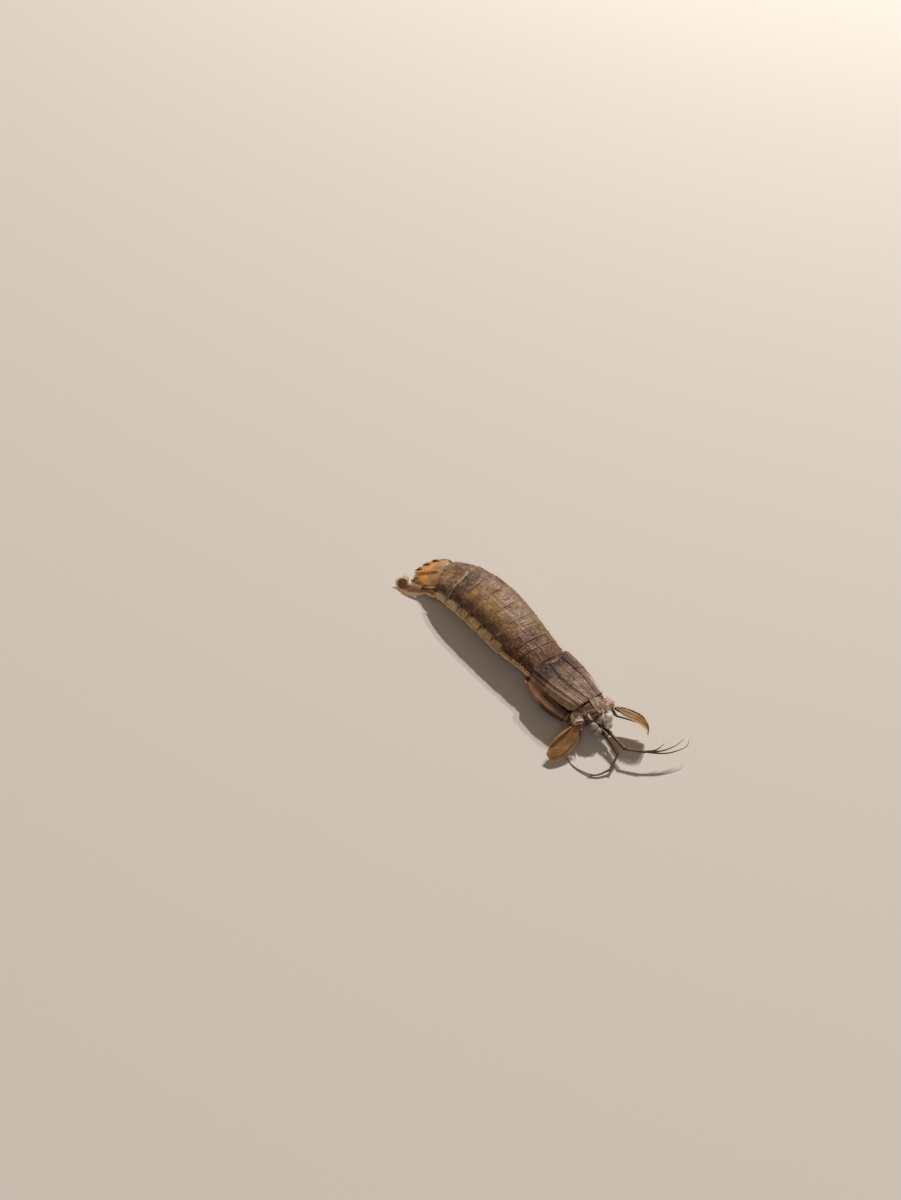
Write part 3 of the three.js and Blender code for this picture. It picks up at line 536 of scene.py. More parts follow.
def abdomen_colour(number, ring):
    dusk, gold = DUSKS[number], GOLDS[number]

    def colour(u, v):
        s = ring.station(u)
        x, z, _, edge = ring_section(v)
        top = (v <= TOP_SHARE) * 1.0
        behind, ahead = ring.front[0] - s, s - ring.hind[0]
        seen = held(behind / ring.length)
        girth = girth_of(x, z)
        fog, fine = cloud(girth * 0.22 + 3, s * 0.3, 5), cloud(girth * 0.8, s * 1.1 + 4, 6)
        tone = mix(TAN, ROSY, held(step(-0.1, 0.6, x + 0.25 * fog) + 1.0 - gold))
        tone = mix(tone, GOLD, held(gold * ridge(x, -0.22, 0.36) * (0.6 + 0.8 * fog + 0.3 * fine), 0.9))
        tone = mix(tone, ink(100, 72, 48, 0.4), held(0.5 * step(0.05, 0.6, -fog + 0.3 * fine)))
        rusty = 0.6 if ring.front[0] > RUSTY_FROM else 0.2
        tone = mix(tone, RUST, held(rusty * (0.5 + fine)) * (1 - 0.7 * step(0.2, 0.7, x)))
        hindward = seen - 0.35 if number == 5 else 0.5 - seen
        smoke = step(-0.3, 0.3, 0.8 * fine + hindward + 0.5 * fog)
        tone = mix(tone, DUSK, dusk * smoke * (1 - 0.75 * step(0.15, 0.7, x)))
        for at in KEELS:
            line = ridge(np.abs(x), at, 0.013) * step(1.3, 2.2, behind)
            tone = mix(tone, HORN if at < 0.2 else PLUM, (0.14 + 0.2 * fine) * line)
        if number < 5:
            tone = mix(tone, ink(104, 66, 32, 0.2), (0.6 + 0.3 * fog) * ridge(x + 0.02 * fog, 0.03, 0.016))
        # a plum blotch each side of the crown
        blot = ridge(z, 0.74, 0.15) * (0.15 + 1.1 * ridge(seen, 0.45, 0.4) + 0.4 * fine)
        tone = mix(tone, PLUM, held(blot, 0.9) * top)
        if number == 6:
            paled = step(-0.1, 0.5, cloud(girth * 0.7, s * 0.7, 11))
            tone = mix(tone, ink(176, 144, 116, 0.3), 0.6 * paled)
        # the pale side lobe, its tint raised as painted light on the shaded flank, with painted shade in the
        # near-black corners and gaps round it, and a paler rim
        low = (1 - step(0.50, 0.56, z)) * top
        pale = mix(OLIVE, RIM, np.full(u.shape, 0.85 if number > 4 else 0.1))
        tone = mix(tone, mix(pale, ink(150, 118, 78, 0.5), held(0.35 + 0.6 * fine)), low)
        corner = ridge(z, 0.56, 0.1) * ridge(seen, 0.96, 0.14) * 1.3 + ridge(z, 0.545, 0.02) * 0.5
        tone = mix(tone, BLACK, held(corner) * top)
        gap = held(1 - step(0.9, 1.5, behind) + ridge(ahead, -0.1, 0.34))
        tone = mix(tone, BLACK, low * gap * 0.85)
        tone = mix(tone, RIM, (1 - step(0.05, 0.1, z)) * top * 0.85)
        # the seams across, front and hind; the dark front seam is partly the joint's own colour and partly
        # painted shade under the lapping rim of the ring in front
        seam_and_lap_shade = (1 - step(0.3, 0.8, behind)) * (0.5 - 0.3 * step(0.2, 0.8, x) + 0.6 * fine)
        tone = mix(tone, mix(PLUM, RUST, ridge(x, -0.05, 0.6)), held(seam_and_lap_shade, 0.9))
        if number == 5:
            arc = 0.75 * (1 - low) * (1 - 0.5 * step(0.1, 0.6, x))
            tone = mix(tone, RIM, ridge(ahead, -0.1, 0.3) * arc * top)
        else:
            tone = mix(tone, HORN, ridge(ahead, -0.1, 0.3) * held(0.1 + 0.5 * fine) * top)
        tone = mix(tone, RUST, ridge(ahead, 0.45, 0.14) * held(0.25 + fine, 0.6) * top * (1 - low))
        # painted glints on the gold, and frost and paler shell on the far side
        glint = step(0.62, 0.72, cloud(girth * 0.9, s * 0.9, 12)) * ridge(x, -0.2, 0.4)
        tone = mix(tone, ink(250, 232, 196, 0.0), 0.7 * glint * gold)
        frost = step(0.35, 0.8, cloud(girth * 3.1, s * 3.1, 9)) * step(-0.3, 0.6, x + 0.4 * fog)
        tone = mix(tone, ink(180, 148, 112, 0.0), 0.2 * frost * top)
        paled = step(0.35, 0.75, x + 0.12 * fog) * (0.25 if number < 4 else 0.1)
        tone = mix(tone, ink(204, 170, 142, 0.2), paled * (1 - 0.5 * low))
        return mix(tone, ink(168, 138, 98, 0.2), (1 - top) * (1 - edge))

    return colour


for number in range(1, 7):
    ring = Ring(7 - number, lobe=1.8 if number < 6 else 0.8, keel=0.14)
    pieces = [skin("ring", 46, 176, ring.form, ring.relief, abdomen_colour(number, ring))]
    for share in SPINES[number]:
        for side in (-1, 1):
            root, (forward, left, up) = ring.top_point(0.93, side * share)
            toward = -forward + up * 0.06 + left * side * 0.05
            pieces.append(thorn(root - up * 0.1, toward, 1.9 if number == 6 else 1.2, 0.36, GOLD, BLACK))
    whole = joined(f"abdomen_shell_{number}", pieces)
    finish(whole, [f"abdominal_somite_{number}"], abdomen_finish)


def thorax_colour(ring):
    def colour(u, v):
        s = ring.station(u)
        x, z, _, edge = ring_section(v)
        top = v <= TOP_SHARE
        behind, ahead = ring.front[0] - s, s - ring.hind[0]
        wave = 0.5 + 0.7 * cloud(x * 6, s * 0.8, 8)
        tone = mix(RUST, BARK, held(0.25 + 0.6 * wave))
        tone = mix(tone, ROSY, 0.5 * step(0.2, 0.8, x))
        keel = ridge(np.abs(x), 0.36, 0.02) + ridge(np.abs(x), 0.7, 0.02)
        tone = mix(tone, FROST, 0.3 * keel + 0.35 * step(0.0, 0.6, cloud(x * 11, s * 1.2, 14)))
        tone = mix(tone, PLUM, 0.6 * step(0.05, 0.6, cloud(x * 5, s * 0.6, 15)))
        tone = mix(tone, OLIVE, (1 - step(0.25, 0.35, z)) * top)
        tone = mix(tone, BLACK, 0.8 * ridge(z, 0.36, 0.05) * top)
        tone = mix(tone, RIM, (1 - step(0.0, 0.08, z)) * top * 0.8)
        # the dark front band, partly the joint's own colour and partly painted shade under the lapping rim
        # of the ring in front
        tone = mix(tone, BLACK, (1 - step(0.5, 1.2, behind)) * 0.6)
        speck = step(0.3, 0.75, cloud(x * 27, s * 3.0, 10))
        tone = mix(tone, FROST, 0.35 * speck * step(-0.6, 0.4, x))
        tone = mix(tone, RIM, ridge(ahead, 0.0, 0.22) * held(0.5 * wave - 0.05, 0.3))
        return mix(tone, ink(170, 142, 104, 0.2), (v > TOP_SHARE) * (1 - edge))

    return colour


for number in (6, 7, 8):
    ring = Ring(15 - number, lobe=0.8, keel=0.2, start=(11.9, 5.9) if number == 6 else None)
    pieces = [skin("ring", 40, 176, ring.form, ring.relief, thorax_colour(ring))]
    for side in (-1, 1):
        root, (forward, left, up) = ring.top_point(0.75, side * 0.985)
        toward = left * side * 0.7 + forward * 0.5 - up * 0.25
        pieces.append(thorn(root, toward, 1.7, 0.6, OLIVE, RIM))
        for share in (0.22, 0.4, 0.58, 0.76, 0.94):
            root, _ = ring.top_point(share, side * 0.99)
            at = root + left * side * 0.1 - up * 0.3
            pieces.append(thorn(at, left * side * 0.75 - up * 0.5, 1.1, 0.42, RUST, RIM))
    finish(joined(f"thorax_shell_{number}", pieces), [f"thoracic_somite_{number}"], thorax_finish)

# Trunk: the fused segments under the carapace, dry flesh and soft wall with a furrow at each
# segment. The claws and the mouth legs hang from it.
TRUNK_HIND, TRUNK_LENGTH, FURROW_PITCH = 0.4, 26.1, 4.6


def trunk_form(u, v):
    s = TRUNK_HIND + TRUNK_LENGTH * u
    *place, half, crown = body_at(s)
    x, z = np.cos(TURN * v), np.sin(TURN * v)
    filled = np.maximum(step(0.4, 1.4, s) * step(9.0, 5.0, s), step(16.0, 20.0, s)) * (z > 0)
    reach = np.minimum(7.2, half - 2.6) * (1 - filled) + (half - 1.9) * filled
    roof = (crown - 1.9 + 0.95 * filled) * 0.96
    return put(place, 0.0, reach * squared(x, 0.7), np.where(z > 0, roof, 2.3) * squared(z, 0.7))


def furrow(u, shift=0.0):
    return np.sin(u * TRUNK_LENGTH * TURN / FURROW_PITCH + shift)


trunk = skin(
    "trunk_flesh",
    60,
    48,
    trunk_form,
    lambda u, v: 0.25 * furrow(u) - 0.1,
    lambda u, v: mix(ink(150, 118, 84, 0.5), BARK, 0.5 + 0.5 * furrow(u, 2)),
)
finish(trunk, ["trunk"], thorax_finish)

# Carapace: one thin arched shield over the trunk, hinged to nothing, bayed behind in the middle.
# Two long grooves part the middle plate from the sides, and keels run along it. It is dusty in front.
BROW = JOINTS[-1, 0]
CARAPACE_THICK = 0.9


def shield_share(v):
    top = v <= 0.5
    return np.where(top, v * 2, 2 - v * 2), top


def shield_place(u, v):
    k, top = shield_share(v)
    x, z = arch(k)
    behind = 2.6 - 6.2 * np.abs(x) ** 1.5 + 3.9 * step(0.6, 1.0, np.abs(x)) ** 1.5
    s = behind + (BROW - 1.2 * np.abs(x) ** 3 - behind) * u
    return x, z, s, top


def shield_form(u, v):
    x, z, s, top = shield_place(u, v)
    *place, half, crown = body_at(np.maximum(s, 0))
    bulge = np.sin(np.pi * held(u))
    ends = np.sqrt(held(1 - np.abs(2 * u - 1) ** 24))
    thin = np.where(top, 0.0, CARAPACE_THICK) * ends * (0.4 + 0.6 * faded(u, 0.12, 0.1))
    corner = 1 - 0.07 * (1 - u) ** 4 * np.abs(x) ** 6
    across = (half + bulge - thin * np.abs(x) ** 0.5) * corner * x
    above = (crown - thin) * z - 1.2 * (1 - step(0, 0.3, z)) * (x < 0) * faded(u, 0.2, 0.15)
    return put(place, np.minimum(s, 0), across, above)


def groove_line(s):
    """Where the gastric groove runs, as a share across, at a distance in front of the waist."""
    return 0.30 + 0.10 * step(2, 14, s) - 0.10 * step(16, 28, s)


def shield_relief(u, v):
    x, z, s, top = shield_place(u, v)
    side = np.abs(x)
    girth = girth_of(x, z)
    neck = 9.5 + 2.2 * side + 0.4 * cloud(x * 4, 0, 20)
    side = side + 0.008 * cloud(s * 0.5, x * 3, 21)
    lift = -0.34 * ridge(side, groove_line(s), 0.014)
    lift += 0.2 * ridge(side, groove_line(s) + 0.04, 0.016)
    lift -= 0.32 * ridge(s, neck, 0.3) * step(0.24, 0.34, side)
    fork = 0.016 + 0.03 * step(18, 24, s) + 0.03 * step(8, 3, s)
    lift += 0.2 * ridge(side, fork, 0.012)
    lift += 0.2 * ridge(side, 0.60, 0.011) * step(3, 6, s)
    lift += 0.3 * ridge(side, 0.80, 0.013) + 0.25 * ridge(side, 0.93, 0.013)
    lift -= 0.12 * ridge(side, 0.87, 0.03)
    lift += 0.14 * ridge(side, 0.47, 0.010) * step(11, 14, s)
    lift += 0.14 * ridge(u, 0.975, 0.014) + 0.14 * ridge(u, 0.02, 0.014)
    lift += 0.3 * cloud(girth * 0.25, s * 0.2, 22, 2) + 0.12 * cloud(girth * 0.8, s * 0.6, 23, 3)
    lift += 0.09 * cloud(girth * 2.2, s * 2.2, 24, 2) * (0.5 + 0.5 * step(8, 20, s))
    return np.where(top, lift * faded(u, 0.03, 0.02), 0.0)


def shield_colour(u, v):
    x, z, s, top = shield_place(u, v)
    side = np.abs(x)
    girth = girth_of(x, z)
    fog, fine = cloud(girth * 0.3, s * 0.22, 25), cloud(girth * 1.1, s * 0.8, 26)
    centre = 1 - step(groove_line(s) - 0.04, groove_line(s) + 0.01, side)
    tone = mix(ink(122, 94, 76, 0.6), ink(88, 64, 50, 0.8), held(0.5 + 0.9 * fog + 0.4 * fine))
    plate = mix(ink(142, 112, 88, 0.4), ink(110, 82, 60, 0.6), held(0.45 + 0.8 * fog + 0.5 * fine))
    tone = mix(tone, plate, centre * 0.9)
    tone = mix(tone, ink(142, 116, 98, 0.5), 0.6 * step(0.35, 0.85, x))
    # the gastric grooves and the neck groove darkened with painted shade
    neck = 0.8 * ridge(s, 9.5 + 2.2 * side, 0.45) * step(0.26, 0.34, side)
    dark = ridge(side, groove_line(s), 0.017) + neck
    tone = mix(tone, ink(50, 32, 27, 0.5), held(dark) * 0.75)
    rear = (1 - step(3.4, 9.5, s + 2.4 * fog + 1.2 * fine)) * (1 - step(0.5, 0.85, side))
    tone = mix(tone, ink(50, 21, 15, 0.7), rear * 0.96)
    for at, width in ((0.60, 0.013), (0.80, 0.016), (0.93, 0.014), (0.04, 0.010)):
        tone = mix(tone, ink(158, 134, 112, 0.1), (0.35 + 0.2 * fine) * ridge(side, at, width))
    scratch = cloud(girth * 3.2, s * 0.35, 27) * step(0.15, 0.5, x) + cloud(girth * 4.0, s * 0.5, 28) * 0.25
    scratch += 0.55 * cloud(girth * 3.4, s * 3.4, 29)
    tone = mix(tone, ink(196, 172, 150, 0.0), held(0.9 * step(0.3, 0.75, scratch), 0.6))
    tone = mix(tone, ink(70, 50, 40, 0.4), held(0.8 * step(0.35, 0.8, -scratch), 0.55))
    grit = cloud(girth * 2.6, s * 2.6, 13)
    tone = mix(tone, ink(54, 38, 34, 0.4), 0.7 * step(0.0, 0.5, -grit))
    tone = mix(tone, ink(204, 184, 172, 0.0), 0.65 * step(0.1, 0.55, grit) * (0.02 + 0.98 * step(8, 20, s)))
    frost = step(13, 27, s + 4 * fog + 5 * step(0.4, 0.8, x)) * held(0.5 + 0.8 * fine + 0.5 * grit)
    dust = mix(ink(134, 114, 100, 0.25), ink(196, 174, 162, 0.1), step(0.45, 0.9, x))
    tone = mix(tone, dust, 0.8 * frost)
    tone = mix(tone, ink(182, 148, 126, 0.3), 0.6 * step(-0.4, -0.7, x) * step(8, 12, s))
    tone = mix(tone, ink(232, 210, 200, 0.1), 0.7 * step(0.55, 0.85, x) * step(14, 21, s))
    tone = mix(tone, ink(196, 182, 164, 0.0), 0.8 * ridge(s, 17.5, 1.1) * ridge(x, -0.02, 0.09))
    tone = mix(tone, ink(160, 134, 108, 0.0), step(0.972, 0.99, side) * 0.7 + 0.45 * step(0.98, 0.992, u))
    return mix(ink(120, 94, 72, 0.3), tone, top)


carapace_finish = shell_finish(
    "carapace_shell", rough=0.6, mottle=0.3, grain=0.16, glow=0.05, coat=0.0, powder=0.3
)
pieces = [skin("shield", 150, 400, shield_form, shield_relief, shield_colour, ends=False)]
_, forward, left, up, _, _ = body_at(BROW)
for side in (-1, 1):
    root = shield_form(np.full((1, 1), 0.985), np.full((1, 1), 0.012 if side < 0 else 0.488))[0, 0]
    pieces.append(thorn(root, forward + left * side * 0.12, 2.0, 0.5, RUST, RIM))
finish(joined("carapace_shell", pieces), ["carapace"], carapace_finish)

# Head: the small plates in front of the carapace. A rostral plate is hinged to the shield's edge,
# and below it the eye and antennule segments, upper lip and jaws make a knobbly dusty lump.
HEAD = vec(28.4, -2.2, 10.2), *frame_of(-14.0, -26.0, -14.0)
HEAD_LENGTH = 8.0
PALE, DUST, UMBER = ink(240, 224, 206, 0.0), ink(194, 168, 148, 0.3), ink(112, 80, 64, 0.6)
head_finish = shell_finish("head_shell", rough=0.58, mottle=0.34, grain=0.2, glow=0.06, powder=0.5)

NECK, NECK_SHARE = body_at(24.0)[0], 0.4
# share along, half width, height above and depth below the middle line
HEAD_STOPS = np.array([
    [0.0, 9.3, 4.4, 3.4], [0.2, 9.2, 5.2, 3.6], [0.32, 8.7, 5.2, 3.7], [0.42, 6.8, 4.9, 3.8],
    [0.6, 5.1, 4.3, 3.8], [0.8, 3.9, 2.8, 3.2], [0.93, 2.7, 1.7, 2.4], [1.0, 1.6, 0.9, 1.4],
])


def head_form(u, v):
    x, z = np.cos(TURN * v), np.sin(TURN * v)
    near, far = held(u / NECK_SHARE)[..., None], held((u - NECK_SHARE) / (1 - NECK_SHARE))[..., None]
    middle = NECK + (HEAD[0] - NECK) * near + HEAD[1] * HEAD_LENGTH * far
    half, roof, depth = (np.interp(u, HEAD_STOPS[:, 0], HEAD_STOPS[:, n]) for n in (1, 2, 3))
    power = 0.74 + 0.14 * step(0.3, 0.5, u)
    across, above = half * squared(x, power), np.where(z > 0, roof, depth) * squared(z, power)
    return middle + HEAD[2] * across[..., None] + HEAD[3] * above[..., None]


def head_relief(u, v):
    x, z = np.cos(TURN * v), np.sin(TURN * v)
    lift = -0.5 * ridge(u, 0.45, 0.025) - 0.45 * ridge(u, 0.66, 0.025) - 0.3 * ridge(u, 0.86, 0.02)
    lift += 0.25 * ridge(u, 0.5, 0.025) + 0.2 * ridge(u, 0.71, 0.025)
    lift -= 0.35 * ridge(x, 0, 0.08) * (z > 0) * step(0.5, 0.6, u)
    return lift + 0.4 * cloud(x * 3 + 5, u * 9 + z * 3, 30) + 0.16 * cloud(x * 9 + 5, u * 26 + z * 8, 31)


def head_colour(u, v):
    x, z = np.cos(TURN * v), np.sin(TURN * v)
    fine = cloud(x * 5 + 5, u * 16 + z * 5, 32)
    tone = mix(UMBER, DUST, held(0.4 + 1.3 * fine) * step(0.1, 0.5, u))
    return mix(tone, PALE, 0.6 * ridge(u, 0.5, 0.02) + 0.5 * ridge(u, 0.71, 0.02))


def pebble(at, size, turn, tone, rim):
    """A small rounded plate on the head, with a pale rim and a sunk dark middle."""
    parts = vec(*at), *frame_of(*vec(*turn))
    long, wide, tall = size

    def form(u, v):
        x, ring = np.cos(np.pi * u), np.abs(np.sin(np.pi * u)) ** 0.75
        across = wide * ring * squared(np.cos(TURN * v), 0.7)
        return put(parts, long * squared(x, 0.7), across, tall * ring * np.sin(TURN * v))

    def colour(u, v):
        spread = np.maximum(np.abs(np.cos(np.pi * u)), np.abs(np.cos(TURN * v)) * np.abs(np.sin(np.pi * u)))
        fine = cloud(u * 9 + at[0], v * 9 + at[1], 33)
        edge = step(0.66, 0.92, spread) * (0.85 + 0.3 * fine)
        return mix(mix(tone, UMBER, held(0.5 + 0.7 * fine)), rim, edge)

    def relief(u, v):
        up = held(np.sin(TURN * v)) * np.sin(np.pi * u)
        return -0.3 * tall * step(0.6, 1.0, up) + 0.12 * min(size) * cloud(u * 7 + at[0], v * 9 + at[2], 34)

    return skin("pebble", 22, 32, form, relief, colour, ends=False)


# the head's plates: place, half sizes, heading with climb and lean, colour and rim
PLATES = [
    ((32.4, -7.0, 11.6), (2.0, 1.6, 0.7), (-24, -14, -34), DUST, PALE),
    ((34.8, -6.4, 8.6), (1.2, 1.3, 0.6), (-20, -40, -34), DUST, PALE),
    ((36.2, -4.4, 9.6), (1.3, 1.4, 0.6), (-14, -36, -14), DUST, PALE),
    ((37.4, -3.2, 8.4), (1.1, 1.3, 0.7), (-14, -40, -14), RUST, PALE),
    ((33.4, 1.9, 12.2), (2.2, 1.5, 0.7), (0, -14, 10), DUST, PALE),
    ((36.0, 0.6, 10.6), (1.4, 1.1, 0.7), (0, -34, 4), DUST, PALE),
    ((36.6, -5.3, 6.0), (1.9, 1.5, 1.3), (-14, -20, -10), RUST, DUST),
    ((37.0, -2.7, 6.0), (1.9, 1.4, 1.3), (-10, -20, 0), RUST, DUST),
    ((34.2, -4.2, 3.9), (2.4, 1.9, 1.1), (-14, -60, -10), UMBER, DUST),
    ((30.6, -6.4, 4.2), (2.6, 1.4, 1.5), (-14, -76, 0), RUST, DUST),
    ((30.9, -1.4, 4.0), (2.6, 1.4, 1.5), (-10, -76, 0), RUST, DUST),
    ((28.6, -4.0, 3.4), (1.8, 1.9, 1.2), (-10, -30, 0), UMBER, DUST),
]
lump = skin("lump", 90, 120, head_form, head_relief, head_colour)
head = joined("head_shell", [lump, *(pebble(*plate) for plate in PLATES)])
finish(head, ["head"], head_finish)


ROSTRUM_HIND, ROSTRUM_FRONT = vec(27.9, -0.8, 15.5), vec(34.9, -2.5, 13.1)
ROSTRUM_AHEAD = unit(ROSTRUM_FRONT - ROSTRUM_HIND)
ROSTRUM_LEFT = unit(HEAD[2] - ROSTRUM_AHEAD * (HEAD[2] @ ROSTRUM_AHEAD))
ROSTRUM = ROSTRUM_HIND, ROSTRUM_AHEAD, ROSTRUM_LEFT, np.cross(ROSTRUM_AHEAD, ROSTRUM_LEFT)
ROSTRUM_LENGTH = np.linalg.norm(ROSTRUM_FRONT - ROSTRUM_HIND)
ROSTRUM_EDGE = np.array([
    [0, 2.7], [0.12, 3.05], [0.3, 3.1], [0.55, 2.8], [0.75, 2.3], [0.88, 1.65], [0.95, 1.0],
    [0.985, 0.55], [1, 0.3],
])


def plate_share(v):
    """Across share of a flat plate, and whether it is on its upper face."""
    k, top = shield_share(v)
    return -np.cos(np.pi * k), top


def rostrum_form(u, v):
    x, top = plate_share(v)
    ends = np.sqrt(held(1 - np.abs(2 * u - 1) ** 16))
    thick = np.where(top, 0.2, -0.2) * np.sqrt(held(1 - x**8)) * ends
    above = 0.6 * (1 - x * x) * (1 - 0.5 * u) + 0.5 * np.sin(np.pi * u) + thick
    return put(ROSTRUM, ROSTRUM_LENGTH * u, np.interp(u, *ROSTRUM_EDGE.T) * x, above)


def rostrum_relief(u, v):
    x, top = plate_share(v)
    lift = 0.3 * ridge(x, 0, 0.09) * step(0.35, 0.55, u) + 0.24 * ridge(np.abs(x), 0.88, 0.07)
    lift += 0.2 * ridge(u, 0.92, 0.04) - 0.1
    lift += 0.1 * cloud(x * 4, u * 6, 36) + 0.05 * cloud(x * 12, u * 18, 37)
    return lift * faded(u, 0.06, 0.06) * top


def rostrum_colour(u, v):
    x, _ = plate_share(v)
    rim = step(0.78, 0.95, np.abs(x)) + step(0.86, 0.95, u) + 0.7 * ridge(x, 0, 0.08) * step(0.3, 0.5, u)
    tone = mix(ink(118, 96, 82, 0.4), DUST, held(0.5 + 0.8 * cloud(x * 5, u * 8, 38)))
    return mix(tone, PALE, held(rim) * 0.9)


rostrum = skin("rostral_shell", 64, 120, rostrum_form, rostrum_relief, rostrum_colour, ends=False)
finish(rostrum, ["rostral_plate"], head_finish)

# Eyes: each is a two-lobed cornea of tiny facets, clouded blue-white by drying, across the end of
# a short stalk that spreads to meet it.
CORNEA_LENGTH, CORNEA_RADIUS = 7.8, 2.05
EYES = {
    "left": (vec(39.0, -0.9, 9.0), -42.0, -38.0, vec(34.4, -3.2, 8.8)),
    "right": (vec(37.2, -8.0, 7.6), 8.0, -36.0, vec(33.6, -5.9, 8.4)),
}
CLOUD, STEEL, SLATE = ink(244, 236, 230, 0.0), ink(214, 212, 212, 0.1), ink(80, 62, 52, 0.2)
eye_finish = shell_finish("clouded_cornea", rough=0.5, mottle=0.2, pits=0.4, glow=0.15)
for side, (centre, heading, climb, root) in EYES.items():
    axis = direction(heading, climb)
    ends = [centre - axis * CORNEA_LENGTH / 2, centre + axis * CORNEA_LENGTH / 2]
    lobes = round_stops(
        CORNEA_RADIUS,
        (0.03, 0.47), (0.1, 0.76), (0.27, 1), (0.5, 0.91), (0.73, 1), (0.9, 0.76), (0.97, 0.47),
    )
    dim = 0.0 if side == "left" else 0.6

    def eye_colour(u, v):
        fine = cloud(u * 7, np.cos(TURN * v) * 2 + 9, 40 + len(side))
        tone = mix(CLOUD, STEEL, held(0.45 + 0.9 * fine + dim))
        tone = mix(tone, SLATE, held(0.5 * ridge(u, 0.5, 0.035) + dim * 0.8 + 0.25 * fine, 0.8))
        tone = mix(tone, ink(150, 126, 104, 0.2), 0.45 * step(0.2, 0.9, cloud(u * 4 + 3, v * 5, 42)))
        return mix(tone, ink(60, 48, 44, 0.2), 0.6 * step(0.9, 1.0, np.abs(2 * u - 1)))

    def eye_relief(u, v):
        dents = -0.16 * step(0.1, 0.8, cloud(u * 4 + 7, np.cos(TURN * v) * 1.6 + 4, 43 + len(side)))
        facets = 0.012 * np.sin(u * 150) * np.sin(v * TURN * 30) * np.sin(np.pi * u)
        return dents * np.sin(np.pi * u) + facets - 0.1 * ridge(u, 0.5, 0.03)

    cornea = limb(
        f"cornea_shell_{side}",
        ends,
        [[0, 0.1, 0.1], *lobes, [1, 0.1, 0.1]],
        eye_colour,
        eye_relief,
        rows=180,
        columns=120,
    )
    finish(cornea, [f"cornea_{side}"], eye_finish, sharp=60)
    reach = centre - root
    stalk = limb(
        f"eyestalk_shell_{side}",
        [root - reach * 0.15, root + reach * 0.86],
        [[0, 1.15, 1.2], [0.3, 1.3, 1.3], [0.62, 1.25, 1.2], [0.86, 2.1, 1.7], [1, 1.4, 1.2]],
        lambda u, v: mix(mix(UMBER, DUST, step(0.2, 0.7, u)), PALE, 0.8 * ridge(u, 0.8, 0.08)),
        lambda u, v: 0.07 * np.sin(v * TURN * 5 + u * 6),
        wide=axis,
        rows=30,
        columns=30,
    )
    finish(stalk, [f"eyestalk_{side}"], head_finish)

# Antennules: three stout dark segments in line, each with a collar at its joint, then three
# whips on the left one and two on the right, ringed all along and thin as thread at the tip.
# base, the stem's segments and each whip's: length, heading and climb
ANTENNULES = {
    "left": (
        (38.2, -2.6, 4.6),
        [(5.4, -8, 10), (10.4, -12, 8), (9.3, 38, 3)],
        [
            [(6.2, 57, 4), (5.0, 84, 11)],
            [(9.4, 45, -3), (6.0, 60, 0), (6.4, 73, 4), (3.2, 112, 9)],
            [(9.0, 52, 1), (7.6, 70, 5), (4.2, 84, 13)],
        ],
    ),
    "right": (
        (37.2, -5.3, 4.5),
        [(6.2, -6, 9), (9.4, -14, -11), (9.1, -73, -12)],
        [
            [(7.8, -114, -8), (8.8, -157, -3), (8.0, -184, -1)],
            [(6.4, -110, -8), (5.2, -128, -5)],
        ],
    ),
}
EARTH, COFFEE = ink(142, 104, 76, 0.2), ink(88, 60, 44, 0.2)
feeler_finish = shell_finish("feeler_shell", rough=0.48, mottle=0.2, grain=0.08, pits=0.05, glow=0.05)


def jointed(start, end, radius, dark, light):
    """One limb segment: narrow at its root, swollen before its far joint, with a rim there."""
    return limb(
        "segment",
        [start, end],
        round_stops(radius, (0, 0.55), (0.08, 0.78), (0.5, 0.84), (0.9, 1.02), (0.96, 1.08), (1, 0.7)),
        lambda u, v: mix(mix(dark, light, ridge(u, 0.92, 0.06)), light, 0.35 * ridge(v, 0.2, 0.12)),
        lambda u, v: 0.07 * radius * np.sin(v * TURN * 3) * np.sin(np.pi * u),
        rows=26,
    )


WHIP_RADIUS, WHIP_PITCH = 0.5, 0.42


def whip(points):
    """A thread-like feeler, ringed at an even pitch and thinner towards its tip."""
    length = np.linalg.norm(np.diff(smooth_points(points, 60), axis=0), axis=1).sum()
    rings = max(int(length / WHIP_PITCH), 4)

    def wave(u):
        return np.sin(u * rings * TURN)

    return limb(
        "whip",
        points,
        [*round_stops(WHIP_RADIUS, (0, 1), (0.5, 0.62)), [1, 0.1, 0.1]],
        lambda u, v: mix(COFFEE, EARTH, 0.5 * (0.5 - 0.5 * wave(u)) + 0.25 * u),
        lambda u, v: 0.035 * wave(u),
        rows=rings * 4,
        columns=8,
    )


for side, (base, stem, whips) in ANTENNULES.items():
    points = chain(base, stem)
    pieces = [jointed(points[n], points[n + 1], 1.1 * (1 - 0.17 * n), COFFEE, EARTH) for n in range(3)]
    root = points[3] * 0.92 + points[2] * 0.08
    pieces += [whip(chain(root, way)) for way in whips]
    finish(joined(f"antennule_shell_{side}", pieces), [f"antennule_{side}"], feeler_finish)

